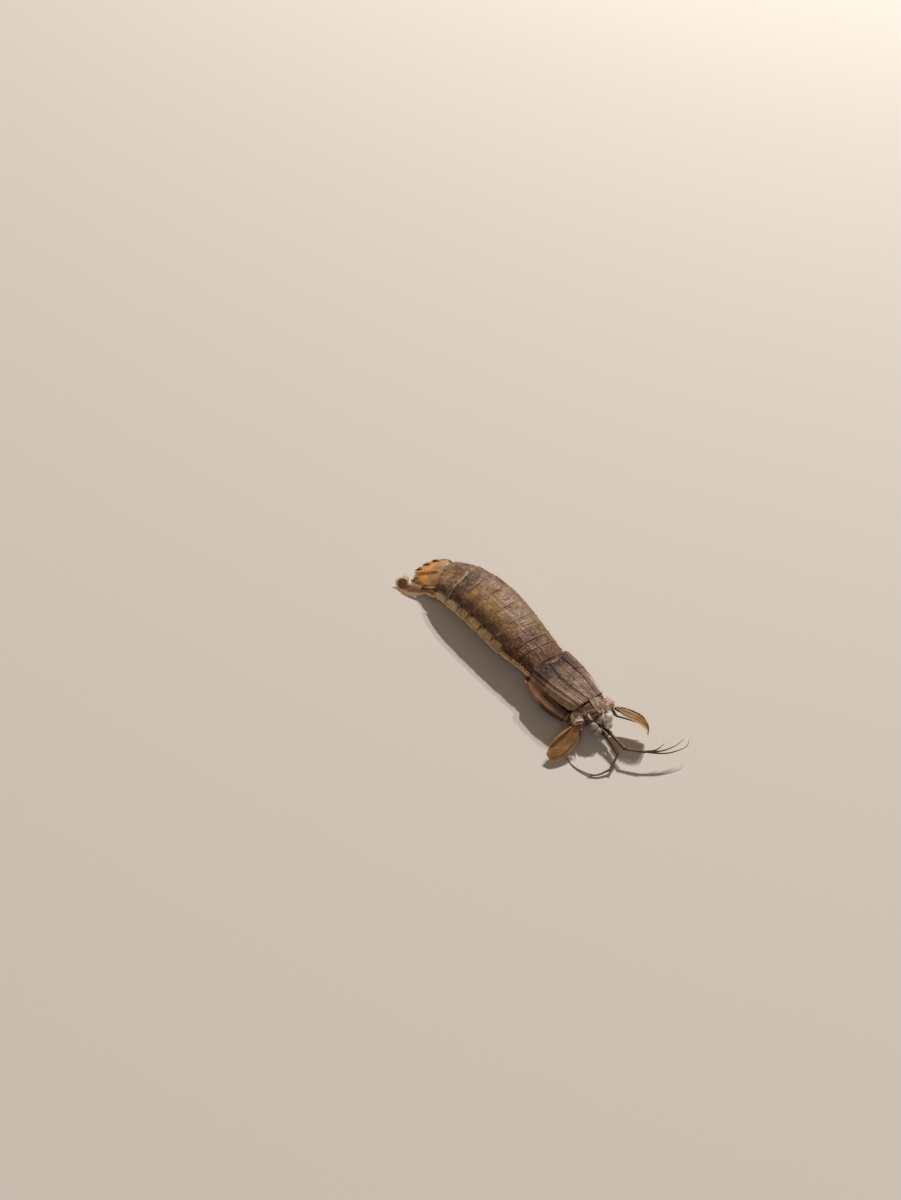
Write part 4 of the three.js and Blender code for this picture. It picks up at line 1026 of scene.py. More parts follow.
# Antennae: a stout block at the corner of the head carries a thin feeler and a broad leaf-like
# scale. The scale is orange-brown horn with ridges along it and a fringe of fine bristles.
ANTENNAE = {
    "left": {
        "base": (29.2, 5.2, 9.2),
        "stem": [(6.6, 8, 8)],
        "feeler": [(5.5, -12, -24), (7.0, 36, -10), (7.2, 33, -9)],
        "scale": [(5.0, 18, 5), (7.0, 22, -3), (5.5, 12, -24), (4.6, -25, -52)],
        "wide": (-0.43, 0.71, -0.46),
    },
    "right": {
        "base": (25.9, -10.1, 10.5),
        "stem": [(6.4, -30, -12)],
        "feeler": [(4.0, -24, -30), (5.6, -48, -28), (3.4, -62, -10)],
        "scale": [(6.0, -84, -18), (8.0, -91, -16), (6.4, -95, -13)],
        "wide": (0.93, 0.25, -0.27),
    },
}
SCALE_HALF, SCALE_THICK = 3.3, 0.75
BLOCK_STOPS = [
    [0, 2.0, 2.0], [0.12, 2.5, 2.5], [0.35, 2.95, 2.9], [0.7, 2.7, 2.6], [0.93, 2.2, 2.1], [1, 1.5, 1.5],
]
SCALE_STOPS = sized(
    SCALE_HALF, SCALE_THICK,
    (0, 0.26, 1.1), (0.06, 0.42, 1), (0.2, 0.74, 0.7), (0.4, 0.96, 0.55), (0.58, 1, 0.5),
    (0.78, 0.9, 0.42), (0.92, 0.66, 0.36), (0.98, 0.46, 0.28), (1, 0.2, 0.2),
)
AMBER, TAWNY, BRISTLE = ink(196, 150, 98, 0.1), ink(158, 116, 74, 0.3), ink(168, 140, 100, 0.0)
SEPIA = ink(84, 52, 32, 0.2)
# the scale's ribs: place across, height and width
SCALE_RIBS = ((0.42, 0.3, 0.06), (0.08, 0.22, 0.05), (-0.25, 0.2, 0.05), (-0.6, 0.18, 0.05))
base_finish = shell_finish("feeler_base_shell", rough=0.55, mottle=0.32, grain=0.18, glow=0.06, powder=0.35)
scale_finish = shell_finish(
    "scale_horn", rough=0.4, mottle=0.2, grain=0.06, pits=0.05, glow=0.18, coat=0.25
)
hair_finish = shell_finish("bristle", rough=0.55, mottle=0.15, grain=0.0, pits=0.0, glow=0.1, coat=0.0)
HAIR_SIDES, HAIR_KNOTS, HAIR_RADIUS, HAIR_FLOOR, PATCH_SIZE = 3, 4, 0.08, 0.12, 0.003


def fringe(name, blade, sides, span, length, count, lean=0.5, tone=BRISTLE, sag=0.0):
    """Bristles set along a blade's edge: three-sided hairs, joined to one mesh, each with its own
    small patch on the map at its root's place along and round the blade."""
    chance = np.random.default_rng(SEED + len(name) + count)
    vertices, faces, patches = [], [], []
    for side in sides:
        shares = np.linspace(span[0], span[1], count) + chance.uniform(-0.3, 0.3, count) / count
        shares = held(shares)
        line, tangent, across, normal, size = blade.at(shares)
        for n in range(count):
            out = unit(across[n] * side + tangent[n] * (lean + chance.uniform(-0.12, 0.12)))
            root = line[n] + across[n] * side * size[n, 0] * 0.96
            swell = 0.55 + 0.45 * np.sin(np.pi * (0.15 + 0.7 * n / count))
            reach = length * (0.75 + 0.35 * chance.random()) * swell
            start = len(vertices)
            for t in np.linspace(0, 1, HAIR_KNOTS):
                middle = root + out * reach * t - vec(0, 0, 1) * sag * reach * t * t
                middle[2] = max(middle[2], HAIR_FLOOR)
                thick = HAIR_RADIUS * (1 - 0.7 * t)
                for a in TURN * np.arange(HAIR_SIDES) / HAIR_SIDES:
                    turned = normal[n] * np.cos(a) + np.cross(out, normal[n]) * np.sin(a)
                    vertices.append(middle + turned * thick)
            for low in range(start, start + HAIR_SIDES * (HAIR_KNOTS - 1), HAIR_SIDES):
                for k in range(HAIR_SIDES):
                    a, b = low + k, low + (k + 1) % HAIR_SIDES
                    faces.append((a, b, b + HAIR_SIDES, a + HAIR_SIDES))
            tip = start + (HAIR_KNOTS - 1) * HAIR_SIDES
            faces.append(tuple(start + k for k in reversed(range(HAIR_SIDES))))
            faces.append(tuple(tip + k for k in range(HAIR_SIDES)))
            patches += [(shares[n], 0.25 + 0.5 * (side > 0))] * (HAIR_SIDES * (HAIR_KNOTS - 1) + 2)
    mesh = bpy.data.meshes.new(name)
    mesh.from_pydata((np.array(vertices) + WAIST) * MM, [], faces)
    colours = mesh.color_attributes.new("tint", "FLOAT_COLOR", "POINT")
    hair_count = len(vertices) // (HAIR_KNOTS * HAIR_SIDES)
    fade = np.tile(np.repeat(np.linspace(0.75, 1.15, HAIR_KNOTS), HAIR_SIDES), hair_count)
    tints = held(tone[None, :3] * fade[:, None])
    colours.data.foreach_set("color", np.append(tints, np.zeros((len(tints), 1)), 1).ravel())
    unwrap = mesh.uv_layers.new(name="OFBake")
    corners = [(0, 0), (PATCH_SIZE, 0), (PATCH_SIZE, PATCH_SIZE), (0, PATCH_SIZE)]
    for face, (along, turn) in zip(mesh.polygons, patches):
        for loop, corner in zip(face.loop_indices, corners):
            unwrap.data[loop].uv = (along * 0.99 + corner[0], turn + corner[1])
    piece = bpy.data.objects.new(name, mesh)
    bpy.context.scene.collection.objects.link(piece)
    return piece


def block_relief(u, v):
    lift = 0.4 * ridge(u, 0.8, 0.03) - 0.35 * ridge(u, 0.87, 0.025) - 0.4 * ridge(u, 0.36, 0.025)
    lift += 0.3 * ridge(u, 0.3, 0.03) + 0.3 * cloud(v * 7, u * 5, 65)
    return lift + 0.12 * cloud(v * 24, u * 18, 66)


# The block's tint is painted much paler than its own as painted light, since the carapace and head shade it;
# the pale rings are its rims.
def block_colour(u, v):
    tone = mix(ink(180, 146, 124, 0.5), ink(255, 236, 220, 0.2), held(0.5 + cloud(v * 12, u * 8, 67)))
    return mix(tone, PALE, 0.85 * ridge(u, 0.8, 0.03) + 0.6 * ridge(u, 0.3, 0.03))


def fold_colour(u, v):
    tone = mix(TAWNY, AMBER, held(0.5 + cloud(u * 6, v * 5, 68)))
    return mix(tone, SEPIA, step(0.55, 0.95, np.abs(np.cos(TURN * v))))


for side, item in ANTENNAE.items():
    stem = chain(item["base"], item["stem"])
    tip = stem[-1]
    block = limb(
        "block",
        [stem[0], tip],
        BLOCK_STOPS,
        block_colour,
        block_relief,
        rows=70,
        columns=56,
    )
    way = chain(tip * 0.75 + stem[0] * 0.25, item["feeler"])
    knuckle = way[1] - way[0]
    pieces = [
        block,
        jointed(way[0], way[0] + knuckle * 0.5, 1.15, UMBER, DUST),
        jointed(way[0] + knuckle * 0.45, way[1], 0.85, UMBER, DUST),
        whip(way[1:]),
    ]
    finish(joined(f"antenna_shell_{side}", pieces), [f"antenna_{side}"], base_finish)
    start = tip + direction(*item["scale"][0][1:]) * 0.9
    leaf_line = Limb(chain(start, item["scale"]), SCALE_STOPS, item["wide"])

    def leaf_relief(u, v):
        x = np.cos(TURN * v)
        ribs = 0.12 * ridge(np.abs(x), 0.96, 0.04) + 0.025 * np.sin(x * 46 + 2 * cloud(u * 4, x, 60))
        for at, height, width in SCALE_RIBS:
            ribs += height * ridge(x, at, width)
        return (ribs + 0.16 * cloud(x * 1.6, u * 4, 61, 2)) * faded(u, 0.08, 0.1)

    def leaf_colour(u, v):
        x = np.cos(TURN * v)
        fog, fine = cloud(x * 2 + 4, u * 3.5, 62), cloud(x * 9, u * 4, 63)
        # The left scale is painted darker and more tawny than the right: painted shade, to dull the key
        # lamp's full light on it.
        tone = mix(AMBER, TAWNY, held((1.3 if side == "left" else 0.35) + 0.6 * fog + 0.35 * fine))
        # Dark lines just beside the ribs and pale lines on them: partly the scale's own striping, partly
        # painted shade and painted highlight along the ribs.
        dark = 0.9 * ridge(x, 0.33, 0.05) + 0.75 * ridge(x, 0.0, 0.045) + 0.7 * ridge(x, -0.33, 0.045)
        tone = mix(tone, SEPIA, held(dark + 0.55 * ridge(x, -0.68, 0.03), 0.9))
        pale = 0.8 * ridge(x, 0.45, 0.05) + 0.65 * ridge(x, 0.1, 0.04) + 0.6 * ridge(x, -0.23, 0.04)
        tone = mix(tone, ink(216, 170, 110, 0.0), held(pale + 0.5 * ridge(x, -0.55, 0.04), 0.85))
        tone = mix(tone, ink(92, 58, 36, 0.2), 0.85 * step(0.9, 0.97, np.abs(x)))
        return mix(tone, COFFEE, 0.5 * step(0.95, 1.0, u) + 0.6 * (1 - step(0, 0.08, u)))

    leaf = skin("leaf", 64, 96, leaf_line.form, leaf_relief, leaf_colour)
    outer = 1 if side == "left" else -1
    middle, _, across, _, size = leaf_line.at(np.array([0.1, 0.35, 0.6, 0.82]))
    fold = limb(
        "fold",
        middle + across * outer * (size[:, :1] + 0.25) + vec(0, 0, 0.7),
        [[0, 0.3, 0.35], [0.3, 0.95, 0.3], [0.75, 0.8, 0.26], [1, 0.2, 0.16]],
        fold_colour,
        lambda u, v: 0.08 * cloud(u * 6, v * 7, 64),
        wide=vec(*item["wide"]) + vec(0, 0, 0.9 if side == "right" else -0.4),
        rows=40,
        columns=28,
    )
    leaf = joined(f"antennal_scale_shell_{side}", [leaf, fold])
    finish(leaf, [f"antennal_scale_{side}"], scale_finish)
    longest = 3.4 if side == "left" else 2.3
    name, straw = f"scale_fringe_{side}", ink(196, 168, 124, 0.0)
    hairs = fringe(name, leaf_line, [-outer], (0.16, 0.995), longest, 420, tone=straw, sag=0.05)
    finish(hairs, [], hair_finish)

# Raptorial claws: folded under the carapace's edge. The swollen merus shows outside; below it lie
# the short carpus, the long propodus with a comb along it and the six-toothed dactylus shut on it.
# by side: the side's sign, the merus's place out and up, the hand's, and the merus's half depth
CLAWS = {
    "right": (-1, (14.3, 8.2), (9.6, 2.5), 4.4),
    "left": (1, (10.2, 4.6), (4.8, 2.5), 3.1),
}
MERUS_LENGTH, MERUS_HIND, MERUS_HALF = 27.0, -1.5, 3.4
PROPODUS_LENGTH, PROPODUS_FRONT, PROPODUS_HALF, PROPODUS_DEPTH = 31.0, 27.5, 2.1, 2.8
DACTYLUS_LENGTH, DACTYLUS_TEETH, COMB_TEETH = 26.0, 6, 30
MERUS_STOPS = (0.07, 0.55, 0.55), (0.22, 0.84, 0.86), (0.55, 1, 1), (0.9, 0.85, 0.78), (1, 0.45, 0.45)
PROPODUS_STOPS = sized(
    PROPODUS_HALF, PROPODUS_DEPTH,
    (0.05, 0.85, 0.7), (0.14, 1, 0.95), (0.2, 0.86, 0.88), (0.4, 1, 1), (0.85, 0.8, 0.9), (1, 0.3, 0.5),
)
BRICK, WINE, BLUSH = ink(100, 56, 45, 0.3), ink(66, 29, 26, 0.4), ink(222, 180, 146, 0.0)
claw_finish = shell_finish(
    "claw_shell", rough=0.36, mottle=0.22, grain=0.06, pits=0.06, glow=0.06, coat=0.3
)
for side, (y, (meral_out, meral_height), (out, height), depth) in CLAWS.items():
    merus_line = [
        vec(MERUS_HIND, y * (meral_out - 1.6), meral_height + 0.4),
        vec(MERUS_HIND + MERUS_LENGTH * 0.5, y * (meral_out + 0.5), meral_height),
        vec(MERUS_HIND + MERUS_LENGTH, y * (meral_out - 1.0), meral_height - 1.2),
    ]

    crest_at = 0.40 if y < 0 else 0.10

    def merus_relief(u, v):
        lift = 0.35 * ridge(v, crest_at, 0.025) - 0.35 * ridge(v, 0.72, 0.035) + 0.3 * ridge(v, 0.67, 0.02)
        lift += 0.25 * ridge(v, 0.25, 0.02) - 0.15 * ridge(v, 0.33, 0.05)
        lift += 0.45 * ridge(u, 0.955, 0.012) - 0.3 * ridge(u, 0.925, 0.012) + 0.25 * ridge(u, 0.06, 0.015)
        lift += 0.12 * cloud(v * 8, u * 6, 50)
        return lift * np.sin(np.pi * u) ** 0.5 + 0.05 * cloud(v * 30, u * 26, 51)

    def merus_colour(u, v):
        fog, fine = cloud(v * 6, u * 5, 52), cloud(v * 18, u * 14, 53)
        tone = mix(BRICK, WINE, held(0.5 + 0.8 * fog + 0.3 * fine))
        tone = mix(tone, ink(176, 132, 106, 0.2), 0.75 * step(0.54, 0.3, u + 0.12 * fog))
        tone = mix(tone, WINE, 0.7 * ridge(v, 0.25, 0.14) * step(0.3, 0.6, u + 0.1 * fine))
        # The pale crest lines are partly the crests' own pale rims and partly painted highlight; the wide
        # pale band along the upper rim is painted highlight on the shaded merus.
        crest = ridge(v, crest_at, 0.02) + 0.5 * ridge(v, 0.25, 0.012) + ridge(v, 0.67, 0.015)
        tone = mix(tone, BLUSH, held(crest * (0.5 + 0.3 * fine)))
        tone = mix(tone, BLUSH, 0.6 * (1 - step(0, 0.08, u)) + 0.5 * ridge(u, 0.955, 0.01))
        painted_rim_highlight = ridge(v, crest_at + 0.02 * y, 0.05)
        tone = mix(tone, BLUSH, 0.8 * painted_rim_highlight * (1 - 0.8 * step(0.45, 0.8, u)))
        return mix(tone, BLACK, 0.6 * ridge(u, 0.925, 0.01) + 0.4 * step(0.97, 1.0, u))

    merus = limb(
        "merus",
        merus_line,
        [[0, 0.8, 1.2], *sized(MERUS_HALF, depth, *MERUS_STOPS)],
        merus_colour,
        merus_relief,
        rows=64,
        columns=56,
    )
    hip, knee = merus_line[0], merus_line[2]
    pieces = [
        merus,
        pebble(hip + vec(-0.6, 0, 0.2), (1.5, 1.7, 1.9), (0, 0, 0), BRICK, BLUSH),
        thorn(knee + vec(-0.8, y * 1.3, -1.6), (0.7, y * 0.3, -0.5), 1.6, 0.4, BLUSH, PALE),
    ]
    finish(joined(f"merus_shell_{side}", pieces), [f"claw_merus_{side}"], claw_finish)
    front = vec(PROPODUS_FRONT, y * (out + 0.4), height)
    hind = vec(PROPODUS_FRONT - PROPODUS_LENGTH, y * (out - 0.4), height)
    hand_line = Limb([front, hind], [[0, 0.9, 1.3], *PROPODUS_STOPS])

    def propodus_form(u, v):
        points = hand_line.form(u, v)
        points[..., 2] = np.maximum(points[..., 2], 0)
        return points

    def propodus_relief(u, v):
        lift = 0.25 * ridge(v, 0.25, 0.03) - 0.2 * ridge(v, 0.36, 0.04) - 0.3 * ridge(u, 0.175, 0.012)
        return (lift + 0.12 * cloud(v * 8, u * 8, 57)) * np.sin(np.pi * u) ** 0.5 * step(0.75, 0.68, v)

    def propodus_colour(u, v):
        tone = mix(BRICK, WINE, held(0.5 + cloud(v * 6, u * 9, 58)))
        pale = 0.35 * step(0.6, 1.0, cloud(v * 5, u * 7, 59) + 0.3)
        tone = mix(tone, BLUSH, 0.6 * ridge(v, 0.25, 0.03) + pale)
        return mix(tone, BLACK, 0.7 * ridge(u, 0.175, 0.01))

    hand = skin("hand", 100, 48, propodus_form, propodus_relief, propodus_colour)
    comb = []
    for t in np.linspace(0.24, 0.94, COMB_TEETH):
        at = front + (hind - front) * t + vec(0, -y * PROPODUS_HALF * 0.55, PROPODUS_DEPTH * 0.72)
        comb.append(thorn(at, (0, -y * 0.75, 0.65), 0.85, 0.2, BLUSH, PALE))
    for t in (0.24, 0.295, 0.35):
        at = front + (hind - front) * t + vec(0, -y * PROPODUS_HALF * 0.8, 0.4)
        comb.append(thorn(at, (-0.35, -y * 0.9, 0.2), 1.6, 0.32, BLUSH, COFFEE))

    def carpus_relief(u, v):
        lift = 0.3 * ridge(v, 0.25, 0.04) * np.sin(np.pi * u) + 0.12 * cloud(v * 8, u * 6, 55)
        return lift - 0.25 * ridge(u, 0.14, 0.03) - 0.25 * ridge(u, 0.86, 0.03)

    def carpus_colour(u, v):
        pale = 0.7 * ridge(v, 0.25, 0.04) + 0.6 * ridge(u, 0.2, 0.03) + 0.6 * ridge(u, 0.8, 0.03)
        return mix(mix(BRICK, WINE, held(0.5 + cloud(v * 7, u * 5, 56))), BLUSH, pale)

    bend = (knee + front) / 2 + vec(2.6, y * 0.3, 0.2)
    carpus = limb(
        "carpus",
        [knee + vec(-0.6, 0, 0), bend, front + vec(0.3, 0, 0.1)],
        [[0, 1.3, 1.4], [0.2, 1.9, 2.0], [0.5, 2.3, 2.1], [0.8, 1.8, 1.9], [1, 1.3, 1.5]],
        carpus_colour,
        carpus_relief,
        rows=40,
        columns=36,
    )
    hand = joined(f"propodus_shell_{side}", [hand, carpus, *comb])
    finish(hand, [f"claw_propodus_{side}"], claw_finish)
    blade_out = out - PROPODUS_HALF - 1.3

    def dactylus_at(t, sunk):
        along = hind[0] + 1 + DACTYLUS_LENGTH * t
        return vec(along, y * (blade_out - 1.1 * np.sin(np.pi * t)), height - sunk)

    pieces = [limb(
        "blade",
        [dactylus_at(t, 1.0) for t in np.linspace(0, 1, 14)],
        [[0, 0.95, 1.3], [0.08, 0.9, 1.25], [0.6, 0.6, 0.85], [0.94, 0.35, 0.45], [1, 0.06, 0.06]],
        lambda u, v: mix(mix(BRICK, BLUSH, u), COFFEE, step(0.9, 1.0, u)),
        rows=60,
        columns=18,
    )]
    for t in np.arange(1, DACTYLUS_TEETH) / DACTYLUS_TEETH:
        length = 2.3 * (1 - 0.3 * t)
        pieces.append(thorn(dactylus_at(t, 0.8), (0.5, y * 0.75, 0.85), length, 0.42, BLUSH, COFFEE))
    finish(joined(f"dactylus_shell_{side}", pieces), [f"claw_dactylus_{side}"], claw_finish)

# Maxillipeds: four pairs of slim mouth legs folded forward under the trunk. Each ends in a small
# round hand with a hooked claw, and the first pair is thin and brush-like.
# number, place in front of the waist, distance out, reach, size of the hand, drop at each joint
MAXILLIPEDS = [
    (1, 23.4, 1.9, 7.0, 1.1, 1.3), (3, 17.5, 2.6, 7.0, 1.9, 1.4), (4, 11.0, 3.0, 7.0, 1.8, 1.3),
    (5, 4.5, 2.9, 6.6, 1.8, 1.2),
]
STRAW, SAND = ink(176, 146, 102, 0.2), ink(150, 120, 84, 0.3)
BOTH_SIDES = (("left", 1), ("right", -1))
limb_finish = shell_finish("limb_shell", rough=0.5, mottle=0.24, grain=0.1, pits=0.05, glow=0.14)
for number, x, out, reach, disc, drop in MAXILLIPEDS:
    origin, _, left, up, _, _ = body_at(x)
    for side, y in BOTH_SIDES:
        base = origin + left * y * out - up * 3.2
        elbow = base + vec(reach * 0.5, y * 0.5, -drop * 0.8)
        wrist = base + vec(reach * 0.72, y * 0.3, -drop * 1.5)
        tip = base + vec(reach * 0.8, y * 0.2, -drop * 1.9)
        pieces = [
            jointed(base, elbow, 0.75, SAND, STRAW),
            jointed(elbow, wrist, 0.62, SAND, STRAW),
            pebble(wrist, (disc * 0.62, 0.55, disc * 0.55), (0, -20, 0), STRAW, RIM),
            thorn(tip - vec(0.2, 0, 0), (-0.5, -y * 0.2, -0.5), 1.1, 0.22, RIM, COFFEE),
        ]
        whole = joined(f"mouth_leg_{number}_{side}", pieces)
        finish(whole, [f"maxilliped_{number}_{side}"], limb_finish)

# Walking legs: three pairs of thin legs under the free thorax, each a hip, a shin and a slim foot
# that reaches the floor, with a rod-like side branch from the hip.
STERNUM_RISE, LEG_SPREAD, LEG_RADIUS = 1.5, 9.4, 1.0
FOOT_STOPS = [[0, 0.55, 0.5], [0.6, 0.42, 0.36], [1, 0.1, 0.1]]
BRANCH_STOPS = [[0, 0.4, 0.4], [1, 0.22, 0.22]]
for number in (6, 7, 8):
    origin, forward, left, up, _, _ = body_at((JOINTS[15 - number, 0] + JOINTS[14 - number, 0]) / 2)
    for side, y in BOTH_SIDES:
        hip = origin + left * y * (LEG_SPREAD - 3.2) + up * (STERNUM_RISE - LEG_RADIUS - 0.3)
        knee = origin - forward * 0.4 + left * y * (LEG_SPREAD + 0.4) - up * 2.0
        foot = vec(hip[0] - 3.0, hip[1] + y * 2.2, 0.15)
        shin = knee * 0.45 + foot * 0.55
        branch = [hip, hip + vec(-1.2, y * 1.4, -2.6), hip + vec(-3.2, y * 1.6, -4.2)]
        pieces = [
            jointed(hip, knee, 0.95, SAND, STRAW),
            jointed(knee, shin, 0.75, SAND, STRAW),
            limb("foot", [shin, foot], FOOT_STOPS, plain(STRAW), rows=10, columns=10),
            limb("branch", branch, BRANCH_STOPS, plain(RIM), rows=12, columns=8),
        ]
        whole = joined(f"walking_leg_shell_{number}_{side}", pieces)
        finish(whole, [f"walking_leg_{number}_{side}"], limb_finish)

# Pleopods: five pairs of swimming flaps folded back under the abdomen. Each has a square base and
# two thin leaves with a fringe of bristles.
PLEOPOD_OUT, PLEOPOD_LENGTH, PLEOPOD_SLANT = 6.4, 8.6, math.radians(48)
HINGE_STOPS = [[0, 1.9, 0.9], [0.7, 2.3, 0.85], [1, 1.6, 0.5]]
FLAP_STOPS = [[0, 0.9, 0.35], [0.35, 2.3, 0.3], [0.75, 2.1, 0.24], [1, 0.5, 0.12]]
FLAP, VEIN = ink(190, 164, 124, 0.1), ink(150, 122, 88, 0.3)
flap_finish = shell_finish("flap_skin", rough=0.5, mottle=0.2, grain=0.06, pits=0.02, glow=0.25)


def flap_relief(u, v):
    return 0.05 * ridge(np.cos(TURN * v), 0, 0.12) + 0.02 * np.sin(u * 30)


def flap_colour(u, v):
    return mix(FLAP, VEIN, 0.6 * ridge(np.cos(TURN * v), 0, 0.1) + 0.3 * np.abs(np.sin(u * 15)))


for number in range(1, 6):
    front, hind = JOINTS[7 - number, 0], JOINTS[6 - number, 0]
    origin, forward, left, up, _, _ = body_at(front + (hind - front) * 0.3)
    lie = -up * math.sin(PLEOPOD_SLANT) - forward * math.cos(PLEOPOD_SLANT)
    for side, y in BOTH_SIDES:
        base = origin + left * y * PLEOPOD_OUT + up * (STERNUM_RISE - 1.0)
        hinge = [base, base + lie * 2.6]
        pieces = [limb("flap_base", hinge, HINGE_STOPS, plain(VEIN), wide=left, rows=12, columns=20)]
        lines = []
        for turn, shift in ((y, 1.5), (-y, -1.2)):
            start = base + lie * 2.2 + left * turn * 0.9
            end = base + lie * PLEOPOD_LENGTH + left * turn * 1.7 + up * 0.105 * shift
            middle = (start + end) / 2 + left * turn * 0.5
            across = left * 0.8 + (forward * 0.5 - up * 0.35) * y
            lines.append(Limb([start, middle, end], FLAP_STOPS, across))
        pieces += [skin("leaf", 24, 26, line.form, flap_relief, flap_colour) for line in lines]
        hairs = [fringe("flap_hair", line, [-1, 1], (0.2, 0.98), 1.6, 44, lean=0.9) for line in lines]
        whole = joined(f"pleopod_skin_{number}_{side}", pieces)
        finish(whole, [f"pleopod_{number}_{side}"], flap_finish)
        finish(joined(f"pleopod_fringe_{number}_{side}", hairs), [], hair_finish)

# Telson: the tail shield, one hard plate hinged to the last ring. It has a keel down the middle,
# lines of pits either side, and three pairs of dark teeth with small denticles between them.
TELSON = vec(-77.3, 1.8, 10.5), *frame_of(21.0, 31.0, 11.0)
TELSON_LENGTH, TELSON_HALF, TELSON_CROWN, TELSON_TUCK = 19.0, 10.2, 2.3, 2.4
TELSON_EDGE = np.array([
    [0.0, 0.80], [0.1, 0.94], [0.25, 1.0], [0.42, 0.97], [0.56, 0.90], [0.7, 0.79], [0.82, 0.64],
    [0.92, 0.47], [1.0, 0.30],
])
ORANGE, OCHRE, MAROON = ink(238, 176, 98, 0.05), ink(196, 158, 118, 0.5), ink(92, 48, 28, 0.2)
telson_finish = shell_finish(
    "telson_shell", rough=0.4, mottle=0.2, grain=0.08, pits=0.2, glow=0.16, coat=0.2
)


def telson_half(u):
    return np.interp(u, *TELSON_EDGE.T)


def telson_form(u, v):
    x, top = plate_share(v)
    half = TELSON_HALF * telson_half(u)
    ends = np.sqrt(held(1 - np.abs(2 * u - 1) ** 20))
    edge = np.sqrt(held(1 - np.abs(x) ** 10))
    bow = 1 - x * x
    above = 0.1 + TELSON_CROWN * (1 - 0.55 * u) * bow + np.where(top, 0.4, -0.45) * ends * edge
    above -= 1.3 * (1 - step(0, 0.16, u)) + 0.35 * step(0.6, 1.0, u) * bow
    notch = 1.5 * step(0.9, 1.0, u) * ridge(x * half, 0, 1.3)
    return put(TELSON, TELSON_TUCK - (TELSON_LENGTH + TELSON_TUCK) * u + notch, half * x, above)


def pit_rows(u, side, width):
    """The six lines of pits beside the keel, each 1 at a pit."""
    for line in range(6):
        bend = 0.13 + 0.12 * line + 0.16 * u * (1 - u)
        dots = (0.5 + 0.5 * np.sin(u * 88 + line * 2)) ** 2
        yield ridge(side, bend, width) * dots * step(0.16, 0.3, u)


# the marginal teeth's ribs: share across, and share along where each tooth has its tip
TEETH = ((0.86, 0.56), (0.62, 0.80), (0.30, 0.97))


def telson_relief(u, v):
    x, top = plate_share(v)
    side = np.abs(x) * telson_half(u)
    lift = 0.9 * ridge(side, 0, 0.05) * step(0.16, 0.26, u) * step(0, 0.2, 1 - u)
    lift += 0.3 * ridge(np.abs(x), 0.95, 0.03) - 0.2 * ridge(np.abs(x), 0.86, 0.04)
    for at, tip in TEETH:
        run = step(tip - 0.3, tip - 0.1, u) * step(tip + 0.06, tip, u)
        lift += 0.55 * ridge(side, at * 0.98, 0.03) * run
    lift -= 0.13 * sum(pit_rows(u, side, 0.012))
    lift += 0.3 * cloud(x * 2.2, u * 4, 70, 2) + 0.07 * cloud(x * 10, u * 18, 71)
    return lift * faded(u, 0.05, 0.04) * top


def telson_colour(u, v):
    x, top = plate_share(v)
    side = np.abs(x) * telson_half(u)
    fog, fine = cloud(x * 2.5, u * 4, 72), cloud(x * 9, u * 16, 73)
    tone = mix(ORANGE, OCHRE, held((1 - step(0.25, 0.6, u + 0.2 * fog)) + 0.3 * fine))
    tone = mix(tone, ink(160, 116, 80, 0.3), held(0.5 * step(0.1, 0.7, fog)))
    tone = mix(tone, MAROON, 0.25 * ridge(side, 0, 0.025) * step(0.16, 0.3, u) * (0.6 + fine))
    for at, tip in TEETH:
        mark = ridge(side, at * 0.94, 0.045) * step(tip - 0.22, tip - 0.12, u) * step(tip + 0.08, tip, u)
        tone = mix(tone, MAROON, held(mark * 1.3))
    for pits in pit_rows(u, side, 0.014):
        tone = mix(tone, MAROON, 0.14 * pits)
    tone = mix(tone, MAROON, 0.8 * step(0.94, 0.98, np.abs(x)) + 0.6 * step(0.965, 0.985, u))
    tone = mix(tone, BARK, 0.6 * (1 - step(0.06, 0.14, u)))
    return mix(ink(168, 132, 88, 0.2), tone, top)


def telson_rim(u, side):
    """A point on the telson's edge, and the directions back along the edge and out."""
    at = np.array([u, u + 0.02])
    root, beyond = put(TELSON, -TELSON_LENGTH * at, side * (TELSON_HALF * telson_half(at) - 0.3), 0.2)
    return root, unit(beyond - root), TELSON[2] * side


plate = skin("plate", 130, 300, telson_form, telson_relief, telson_colour, ends=False)
thorns = []
for side in (-1, 1):
    for u, length in ((0.5, 3.25), (0.74, 3.75), (0.93, 4.0)):
        root, run, out = telson_rim(u, side)
        thorns.append(thorn(root - run * 0.6, run + out * 0.4, length, 0.78, MAROON, COFFEE))
    for u in (0.28, 0.4, 0.6, 0.66, 0.8, 0.84, 0.88):
        root, run, out = telson_rim(u, side)
        thorns.append(thorn(root, run * 0.7 + out * 0.7, 1.2, 0.42, MAROON, COFFEE))
    for across in (0.8, 1.5, 2.2):
        root = put(TELSON, -TELSON_LENGTH * 0.985 + 0.5, side * across, 0.25)
        thorns.append(thorn(root, -TELSON[1], 0.9, 0.24, MAROON, COFFEE))
tail_root = limb(
    "tail_root",
    [put(TELSON, 3.6, 0.0, -1.6), put(TELSON, 0.0, 0.0, -2.4), put(TELSON, -6.0, 0.0, -1.2)],
    [[0, 8.6, 2.6], [0.35, 7.4, 2.4], [0.75, 5.4, 1.6], [1, 3.0, 0.5]],
    lambda u, v: mix(ink(150, 116, 76, 0.3), BARK, held(0.4 + cloud(u * 8, v * 14, 75))),
    lambda u, v: 0.25 * np.sin(u * 26) + 0.3 * cloud(u * 5, v * 9, 74),
    wide=TELSON[2],
    rows=40,
    columns=48,
)
finish(joined("telson_shell", [plate, tail_root, *thorns]), ["telson"], telson_finish)

